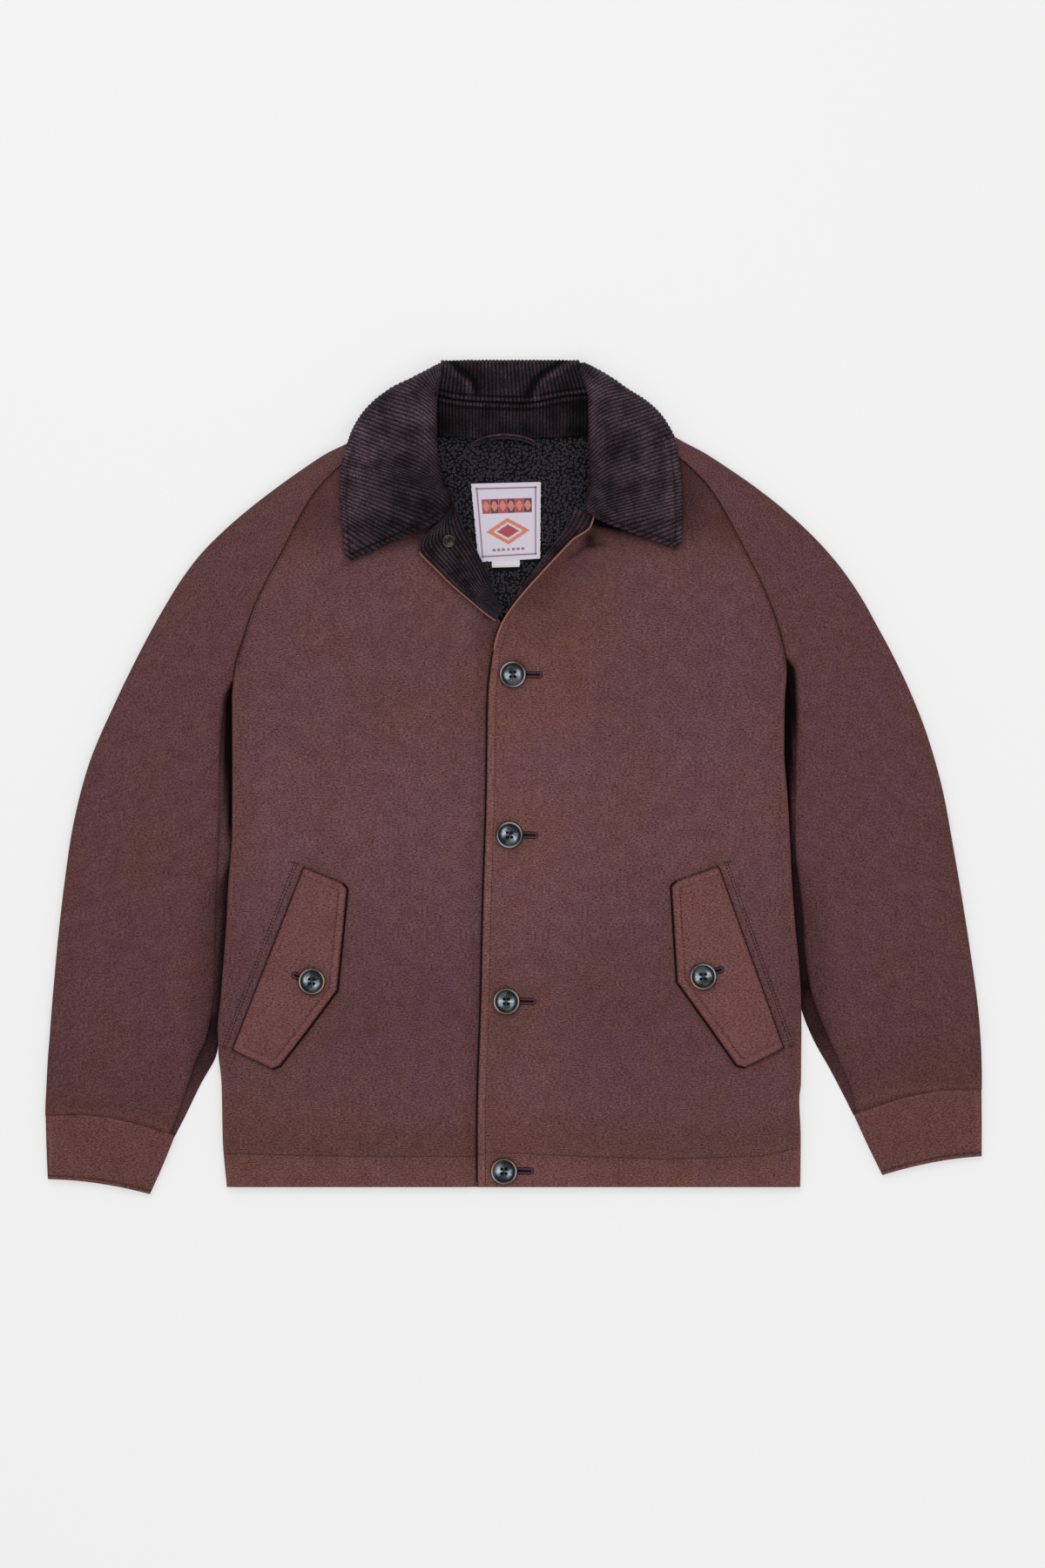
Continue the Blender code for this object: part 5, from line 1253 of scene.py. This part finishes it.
def modifier_tree(name, inputs):
    """An empty tree for a Geometry Nodes modifier: its group input and its group output."""
    tree = bpy.data.node_groups.new(name, "GeometryNodeTree")
    tree.interface.new_socket("Geometry", in_out="INPUT", socket_type="NodeSocketGeometry")
    for label, kind, value in inputs:
        socket = tree.interface.new_socket(label, in_out="INPUT", socket_type="NodeSocket" + kind)
        if value is not None:
            socket.default_value = value
    tree.interface.new_socket("Geometry", in_out="OUTPUT", socket_type="NodeSocketGeometry")
    return tree, add(tree, "NodeGroupInput").outputs, add(tree, "NodeGroupOutput")


def ends_as(tree, instances, given, result):
    """The tree gives these instances as one mesh of its material."""
    real = add(tree, "GeometryNodeRealizeInstances", {"Geometry": instances})
    dressed = add(tree, "GeometryNodeSetMaterial", {"Geometry": real.outputs[0],
                                                    "Material": given["Material"]})
    tree.links.new(dressed.outputs[0], result.inputs[0])


def baked(made):
    """The object with what its modifiers make as its own mesh."""
    ready = made.evaluated_get(bpy.context.evaluated_depsgraph_get())
    mesh = bpy.data.meshes.new_from_object(ready)
    made.modifiers.clear()
    old, made.data = made.data, mesh
    bpy.data.meshes.remove(old)
    mesh.name = made.name
    return made


def realised(made, tree, **values):
    """The object with what the tree makes as its own mesh."""
    modifier = made.modifiers.new(tree.name, "NODES")
    modifier.node_group = tree
    for item in tree.interface.items_tree:
        if item.in_out == "INPUT" and item.name in values:
            modifier[item.identifier] = values[item.name]
    baked(made).data.shade_smooth()
    return made


fleece, tree, shader = new_material("black_fleece_curls", "#37333B", 0.9, 0.08, 0.1)
shader.inputs["Sheen Roughness"].default_value = 0.5
tree, given, result = modifier_tree("pile_curls", (
    ("Apart", "Float", 0.0028), ("Seed", "Int", 3), ("Material", "Material", None)))
wanted = add(tree, "GeometryNodeInputNamedAttribute", {"Name": "curls"}, data_type="FLOAT")
spots = add(tree, "GeometryNodeDistributePointsOnFaces",
            {"Mesh": given["Geometry"], "Distance Min": given["Apart"], "Density Max": 400000.0,
             "Density Factor": wanted.outputs["Attribute"], "Seed": given["Seed"]},
            distribute_method="POISSON")
spiral = add(tree, "GeometryNodeCurveSpiral",
             {"Resolution": 6, "Rotations": 1.1, "Start Radius": 0.0014, "End Radius": 0.0008,
              "Height": 0.0016})
round_wire = add(tree, "GeometryNodeCurvePrimitiveCircle", {"Resolution": 5, "Radius": 0.0006})
curl = add(tree, "GeometryNodeCurveToMesh", {"Curve": spiral.outputs[0],
                                             "Profile Curve": round_wire.outputs[0],
                                             "Fill Caps": True})
turn = add(tree, "FunctionNodeRandomValue", {0: (-0.9, -0.9, 0.0), 1: (0.9, 0.9, 6.28),
                                             "Seed": given["Seed"]}, data_type="FLOAT_VECTOR")
size = add(tree, "FunctionNodeRandomValue", {2: 0.7, 3: 1.2, "Seed": given["Seed"]},
           data_type="FLOAT")
grown = add(tree, "GeometryNodeInstanceOnPoints",
            {"Points": spots.outputs["Points"], "Instance": curl.outputs[0],
             "Rotation": turn.outputs[0], "Scale": size.outputs[1]})
ends_as(tree, grown.outputs[0], given, result)

sewn_in(realised(placed("pile_curls", lining.data.copy()), tree, Material=fleece),
        "pile_lining")

# --- Pocket flaps --------------------------------------------------------------------------
# Two slanted flaps of the rubbed cloth, sewn along their outer edge and buttoned down; the
# other edges are rounded and topstitched.

flap_rise = 3.2
flap_stitch = 7.5

for side, name in both_sides:
    t = ease(np.linspace(0, 1, 140)) * 0.35 + np.linspace(0, 1, 140) * 0.65
    sx, sy, tx, ty = (column[:, None] for column in flap_rows(side, t).T)
    u = np.linspace(0, 1, 71)[None, :] ** 0.9
    x, y = lerp(sx, tx, u), lerp(sy, ty, u)
    free = away_from(flap_outline(side), x, y)
    sewn = np.hypot(x - sx, y - sy)
    z = (front_height(x, y) + flap_rise - 1.1 * (1 - rounding(free, 1.7))
         - 0.45 * bell(free - flap_stitch, stitch_groove) * ease((free - 3) / 3)
         - 0.7 * (1 - rounding(sewn, 2.5)) + 0.16 * unevenness(x, y, 9, 91) * bell(free - 4, 9)
         + 0.22 * unevenness(x, y, 40, 92))
    outer = grid(x, y, z)
    worn = 0.15 + 0.15 * np.exp(-free / 8) + 0.3 * np.exp(-sewn / 6)
    # Painted shade in the stitches, along the free edge and at the seam; painted light in a band
    # inside the free edge and over the whole flap
    shade = (0.18 * bell(free - flap_stitch, 2.0) * ease((free - 3) / 3) + 0.8 * bell(free, 2.2)
             - 0.12 * bell(free - 4.5, 4) + 0.6 * bell(sewn, 1.8) - (0.11 if side > 0 else 0.06))
    flap = cloth("flap_cloth_" + name, outer, wall(outer, panel_wall), trim_cloth, worn=worn,
                 shade=shade)
    sewn_in(flap, "waxed_cotton_trim", "pocket_flap_" + name)
    # A thin roll of cloth painted near black just outside the flap's free edge: a painted shadow
    #     # line round it
    line = flap_outline(side)[1:-1]
    step = unit(np.gradient(line, axis=0))
    out = np.stack([step[:, 1], -step[:, 0]], -1)
    x, y = (line + out * 0.7 * np.sign(((line - line.mean(axis=0)) * out).sum())).T
    piping("flap_painted_shadow_line_" + name, grid(x, y, front_height(x, y) + 0.8), 0.85, trim_cloth,
           "waxed_cotton_trim", shade=0.92)
    # The fold of cloth along the seam that holds the flap, with painted shade that makes it a dark
    # line
    x, y = sx[:, 0] + 0.35 * side, sy[:, 0]
    piping("flap_seam_edge_" + name, grid(x, y, front_height(x, y) + 1.9), 0.5, trim_cloth,
           "waxed_cotton_trim", shade=0.85)

# --- Buttons -------------------------------------------------------------------------------
# Turned horn buttons, navy black and polished, with a raised rim round a shallow dish and four
# holes; the thread that holds them lies deep in those.  The small one holds the lapel.

def polished_horn(name, deep, pale, rim_pale, rim_tone):
    """Polished horn: near black, with a painted highlight in two lobes of its dish that fine
    clouds break up, and a rim painted bright in arcs, pale in places and the horn's brown in
    others."""
    material, tree, shader = new_material(name, deep, 0.10, 0.25)
    place = add(tree, "ShaderNodeTexCoord").outputs["Object"]
    share = spread(tree, noise(tree, place, 420.0, 4.0), 0.3, 0.7, 0.25, 1.6)
    broken = computed(tree, "MULTIPLY", painted(tree, "gleam"), share, clamp=True)
    dish = mixed(tree, broken, linear(deep), linear(pale))
    brown = spread(tree, noise(tree, place, 95.0, 1.0), 0.5, 0.62)
    edge = mixed(tree, brown, linear(rim_pale), linear(rim_tone))
    lit = mixed(tree, painted(tree, "rim"), dish, edge)
    tree.links.new(lit, shader.inputs["Base Color"])
    return material


# The pale colours of dish and rim are painted highlights
navy_horn = polished_horn("navy_black_polished_horn", "#06080C", "#B4C2D2", "#ACB1B8",
                           "#BE9468")
brown_horn = polished_horn("brown_polished_horn", "#141010", "#3E3630", "#85705F",
                            "#6E5A48")
thread_dark, tree, shader = new_material("dark_button_thread", "#0C0809", 0.8, 0.2)

button_wide = 25.0
button_thick = 4.2
button_sides = 64
lapel_button_z = 20.3
# columns: name, x, y, diameter
buttons = (("front_button_1", -0.6, 93.5, button_wide),
           ("front_button_2", -3.5, -53.5, button_wide),
           ("front_button_3", -6.4, -205.8, button_wide),
           ("front_button_4", -8.6, -361.6, button_wide),
           ("pocket_button_right", -184.6, -187.4, button_wide),
           ("pocket_button_left", 173.7, -183.0, button_wide),
           ("lapel_button", -59.0, 215.4, 11.4))
# Half section of a button: radius and height as shares of its radius and thickness
profile = ((0.60, 0.0), (0.84, 0.14), (0.95, 0.34), (0.995, 0.55), (1.0, 0.72), (0.985, 0.86),
           (0.96, 0.94), (0.93, 0.99), (0.90, 1.0), (0.87, 0.98), (0.84, 0.90), (0.82, 0.80),
           (0.79, 0.75), (0.75, 0.75), (0.70, 0.74), (0.64, 0.70), (0.57, 0.655), (0.50, 0.615),
           (0.43, 0.585), (0.36, 0.56), (0.28, 0.54), (0.19, 0.52), (0.10, 0.505))


def button_seat(name, x, y):
    """Height of the cloth that a button lies on."""
    if name.startswith("pocket"):
        return front_height(x, y) + flap_rise
    if name.startswith("lapel"):
        return lapel_button_z + 0 * x
    return front_height(x, y)


def set_on(name, x, y, radius):
    """Matrix that puts a button on the cloth, in metres."""
    reach = 0.62 * radius
    places = np.array([[x, y], [x + reach, y], [x - reach, y], [x, y + reach], [x, y - reach]])
    here, east, west, north, south = button_seat(name, places[:, 0], places[:, 1])
    normal = Vector((-(east - west) / (2 * reach), -(north - south) / (2 * reach), 1)).normalized()
    turn = Vector((0, 0, 1)).rotation_difference(normal).to_matrix().to_4x4()
    return Matrix.Scale(MM, 4) @ Matrix.Translation((x, y, here + 0.55)) @ turn


def four_pegs(name, wide, low, top, depth, height, facets):
    """A peg in each of the four holes of a button this wide; radii are shares of its width."""
    pegs = bmesh.new()
    spread = 0.118 * wide
    for hole in range(4):
        angle = 0.25 * math.pi + 0.5 * math.pi * hole
        spot = (spread * math.cos(angle), spread * math.sin(angle), height)
        bmesh.ops.create_cone(pegs, cap_ends=True, segments=facets, radius1=low * wide,
                              radius2=top * wide, depth=depth, matrix=Matrix.Translation(spot))
    return placed(name, mesh_of(name, pegs))


for name, x, y, wide in buttons:
    radius = 0.5 * wide
    thick = button_thick * lerp(1.0, wide / button_wide, 0.8)
    turned = bmesh.new()
    rings = [[turned.verts.new((radius * share * math.cos(2 * math.pi * n / button_sides),
                                radius * share * math.sin(2 * math.pi * n / button_sides),
                                thick * height)) for n in range(button_sides)]
             for share, height in profile]
    for a, b in zip(rings, rings[1:]):
        for n in range(button_sides):
            m = (n + 1) % button_sides
            turned.faces.new((a[n], a[m], b[m], b[n]))
    turned.faces.new(rings[0][::-1])
    turned.faces.new(rings[-1])
    disc = placed("horn_" + name, mesh_of("horn_" + name, turned))
    disc.data.materials.append(brown_horn if name.startswith("lapel") else navy_horn)
    drill = four_pegs("drill", wide, 0.059, 0.059, 3 * thick, 0.4, 16)
    holes = disc.modifiers.new("holes", "BOOLEAN")
    holes.object, holes.solver = drill, "EXACT"
    data = baked(disc).data
    bpy.data.meshes.remove(drill.data)
    # Painted highlights: the rim bright in arcs and the dish in two lobes, set anew on each button
    spot = np.array([v.co[:] for v in data.vertices])
    share, angle = np.hypot(spot[:, 0], spot[:, 1]) / radius, np.arctan2(spot[:, 1], spot[:, 0])
    chance = np.random.default_rng(int(abs(y)))
    first = chance.uniform(2.6, 3.4)
    lobes = (1.0 * np.clip(np.cos(angle - first), 0, 1) ** 5
             + 0.8 * np.clip(np.cos(angle - first - chance.uniform(2.6, 3.4)), 0, 1) ** 5
             + 0.10 * np.cos(19 * angle + chance.uniform(0, 6)) + 0.04)
    gleam = np.clip(lobes, 0, 1) * ease((share - 0.04) / 0.22) * ease((0.70 - share) / 0.24)
    arcs = 0.68 + 0.40 * np.sin(2 * angle + chance.uniform(0, 6))
    rim = np.minimum(arcs, 1) * bell(share - 0.885, 0.085) * (spot[:, 2] > 0.6 * thick)
    marked(data, gleam=gleam, rim=rim)
    data.transform(set_on(name, x, y, radius))
    data.shade_smooth()
    data.set_sharp_from_angle(angle=math.radians(40))
    sewn_in(disc, "horn", name)
    tie = four_pegs("thread_" + name, wide, 0.055, 0.050, 0.36 * thick, 0.18 * thick, 12)
    tie.data.transform(set_on(name, x, y, radius))
    tie.data.materials.append(thread_dark)
    tie.data.shade_smooth()
    sewn_in(tie, "horn")

# --- Topstitching and buttonholes ----------------------------------------------------------
# Rows of thread sunk in the cloth along its edges and seams, a stitch every 3 mm.  The
# buttonholes are slits edged with close stitches across their rim.

sewing_thread, tree, shader = new_material("burgundy_brown_thread", "#22141A", 0.6, 0.15)
purl_thread, tree, shader = new_material("dark_burgundy_purl", "#583846", 0.55, 0.2)
collar_thread, tree, shader = new_material("dark_grey_thread", "#2C272D", 0.6, 0.15)
slit_shade_cloth, tree, shader = new_material("buttonhole_slit_painted_shade", "#0E090B", 0.9, 0.1)

tree, given, result = modifier_tree("stitches", (
    ("Pitch", "Float", 0.003), ("Size", "Vector", (0.00055, 0.0005, 0.0023)),
    ("Slant", "Float", 0.08), ("Seed", "Int", 7), ("Material", "Material", None)))
path = add(tree, "GeometryNodeMeshToCurve", {"Mesh": given["Geometry"]})
level = add(tree, "GeometryNodeSetCurveNormal", {"Curve": path.outputs[0]})
level.mode = "Z_UP"
spots = add(tree, "GeometryNodeCurveToPoints", {"Curve": level.outputs[0],
                                                "Length": given["Pitch"]}, mode="LENGTH")
bead = add(tree, "GeometryNodeMeshIcoSphere", {"Radius": 0.5, "Subdivisions": 1})
least = add(tree, "ShaderNodeMath", {0: given["Slant"], 1: -1.0}, operation="MULTIPLY")
lean = add(tree, "FunctionNodeRandomValue", {2: least.outputs[0], 3: given["Slant"],
                                             "Seed": given["Seed"]}, data_type="FLOAT")
leaning = add(tree, "ShaderNodeCombineXYZ", {1: lean.outputs[1]})
laid = add(tree, "GeometryNodeInstanceOnPoints",
           {"Points": spots.outputs["Points"], "Instance": bead.outputs[0],
            "Rotation": spots.outputs["Rotation"], "Scale": given["Size"]})
turned = add(tree, "GeometryNodeRotateInstances", {"Instances": laid.outputs[0],
                                                   "Rotation": leaning.outputs[0]})
ends_as(tree, turned.outputs[0], given, result)


def stitched(name, lines, slot, thread, **values):
    """Stitches along lines of points in mm, as one piece."""
    points, edges = [], []
    for line in lines:
        first = len(points)
        points += (np.asarray(line) * MM).tolist()
        edges += [(k, k + 1) for k in range(first, len(points) - 1)]
    made = placed(name, bpy.data.meshes.new(name))
    made.data.from_pydata(points, edges, [])
    return sewn_in(realised(made, tree, Material=thread, **values), slot)


def on_cloth(points, height, sunk=0.15):
    """Points every 2 mm of a line of x, y, sunk below a face of this height."""
    points = np.asarray(points, float)
    points = evenly(points, max(2, int(np.hypot(*np.diff(points, axis=0).T).sum() / 2)))
    x, y = points.T
    return grid(x, y, height(x, y) - sunk)


def across_rows(sheet, distance, wanted):
    """The point of each row of a sheet that lies at this distance from its edge."""
    line = [[np.interp(wanted, far[::way], row[::way, k]) for k in range(3)]
            for row, far, way in ((r, d, 1 if d[-1] > d[0] else -1)
                                  for r, d in zip(sheet, distance))]
    return np.array(line)


# The placket's row, the hem's two, the raglan seams' and the rows inside the flaps' free edges
y = np.linspace(hem_y + 2, 138, 180)
placket_x = read(centre_edges, y, 1) + placket_stitch
body_rows = [grid(placket_x, y, front_height(placket_x, y) - 0.3)]
for x in (np.linspace(-262, -34, 120), np.linspace(-32, 259, 150)):
    y = hem_stitch_y(x)
    body_rows.append(grid(x, y, front_height(x, y) - 0.35))
for side in (-1, 1):
    y = np.linspace(104, 322, 110)
    x = body_edge(y, side) - side * 2.6
    body_rows.append(grid(x, y, front_height(x, y) - 0.15))
for side in (-1, 1):
    outline = flap_outline(side)
    free = outline[1:-1]
    step = unit(np.gradient(free, axis=0))
    inward = np.stack([-step[:, 1], step[:, 0]], -1)
    inward *= np.sign(((outline.mean(axis=0) - free) * inward).sum(axis=1, keepdims=True))
    row = free + inward * flap_stitch
    row = row[away_from(outline, *row.T) > flap_stitch - 0.3]
    body_rows.append(on_cloth(row, front_height, 0.35 - flap_rise))
stitched("thread_of_body_seams", body_rows, "waxed_cotton", sewing_thread)

# Two rows beside each pocket's seam, drawn a little coarser so that they show, and the bar
# tacks at their ends
pocket_rows = []
for side in (-1, 1):
    seam = np.array([flaps[side][0, 0:2], flaps[side][-1, 0:2]])
    run = unit(seam[1] - seam[0])
    out = np.array([run[1], -run[0]]) * (1 if run[1] * side > 0 else -1)
    for away in (7.0, 9.6):
        pocket_rows.append(on_cloth(seam + out * away + (-run, run), front_height, -0.05))
    for end in (0, 1):
        pocket_rows.append(on_cloth([seam[end] + out * 5.5, seam[end] + out * 11.5],
                                    front_height, -0.1))
stitched("thread_of_pocket_seams", pocket_rows, "waxed_cotton", sewing_thread,
         Size=(0.0009, 0.0007, 0.0024))

cuff_rows = []
for side in (-1, 1):
    for t in (0.07, 0.91):
        around = np.linspace(0.12 * math.pi, 0.88 * math.pi, 60)
        line = cuff_ring(side, np.full(60, t), around)
        line[:, 2] -= 0.25
        cuff_rows.append(line)
stitched("thread_of_cuffs", cuff_rows, "waxed_cotton_trim", sewing_thread)

# Along the leaves' free edges, beside the neck seam and in the facing and the lapel
collar_rows = []
for sheet, from_outer, from_inner, from_tip, roll in leaf_stitches:
    clear_of_tip = from_tip[:, 0] > 5.5
    kept = (np.arange(len(sheet)) > 0.44 * len(sheet)) & clear_of_tip
    collar_rows.append(across_rows(sheet[kept], from_outer[kept], collar_stitch)[::4])
    kept = (roll[:, 0] < 0.25) & clear_of_tip
    collar_rows.append(across_rows(sheet[kept], -from_inner[kept], -collar_stitch)[::4])
x = np.linspace(-62, 59, 90)
seam_y, low_y = read(neck_seam, x, 1), read(neck_seam, x, 2)
collar_rows += [grid(x, seam_y + 3.2, 13.2), grid(x, seam_y - 3.3, 13.1),
                grid(x, low_y + 2.2, 13.4)]
fx, fy, ex, ey = along(lapel, np.linspace(0.1, 1, 60)).T
u = lapel_stitch / np.hypot(fx - ex, fy - ey)
x, y, u = (column[u < 0.8] for column in (lerp(ex, fx, u), lerp(ey, fy, u), u))
collar_rows.append(grid(x, y, lapel_height(x, y, u) - 0.3))
stitched("thread_of_collar", collar_rows, "corduroy", collar_thread)

# columns: x, y of the buttonhole's end at the button; x, y of its far end; height on the front
holes = ((11.6, 93.5, 24.4, 93.2, 0.0), (8.7, -53.5, 20.4, -53.7, 0.0),
         (5.8, -205.8, 18.8, -206.0, 0.0), (3.6, -361.6, 16.4, -361.8, 0.0),
         (-191.0, -186.0, -200.6, -181.4, flap_rise), (179.6, -180.4, 190.6, -176.4, flap_rise))
purl = []
for number, (x0, y0, x1, y1, lift) in enumerate(holes, 1):
    run = unit(np.array([x1 - x0, y1 - y0]))
    off = np.array([-run[1], run[0]])
    near, far = np.array([x0, y0]) - run * 2, np.array([x1, y1])
    for way in (-1.85, 1.85):
        purl.append(on_cloth([near + off * way, far + off * way], front_height, -0.3 - lift))
    end = far + run * 0.8
    purl.append(on_cloth([end - off * 2.7, end + off * 2.7], front_height, -0.35 - lift))
    # A near-black sheet under the two rows: the slit between them dark as painted shade, and a
    #     # thin painted shadow line round them
    u = np.linspace(0, 1, 25)[:, None]
    wide = 3.3 * np.sqrt(1 - (2 * u - 1) ** 12 * 0.6) * np.linspace(-1, 1, 5)[None, :]
    x, y = (near[k] + (far[k] + 2.2 * run[k] - near[k]) * u + off[k] * wide for k in (0, 1))
    outer = grid(x, y, front_height(x, y) + lift + 0.25)
    slit = cloth("buttonhole_slit_%d" % number, outer, wall(outer, 0.3), slit_shade_cloth)
    sewn_in(slit, "waxed_cotton_trim" if lift else "waxed_cotton")
stitched("thread_of_buttonholes", purl, "waxed_cotton", purl_thread, Pitch=0.00065,
         Size=(0.0024, 0.0007, 0.0007), Slant=0.12)
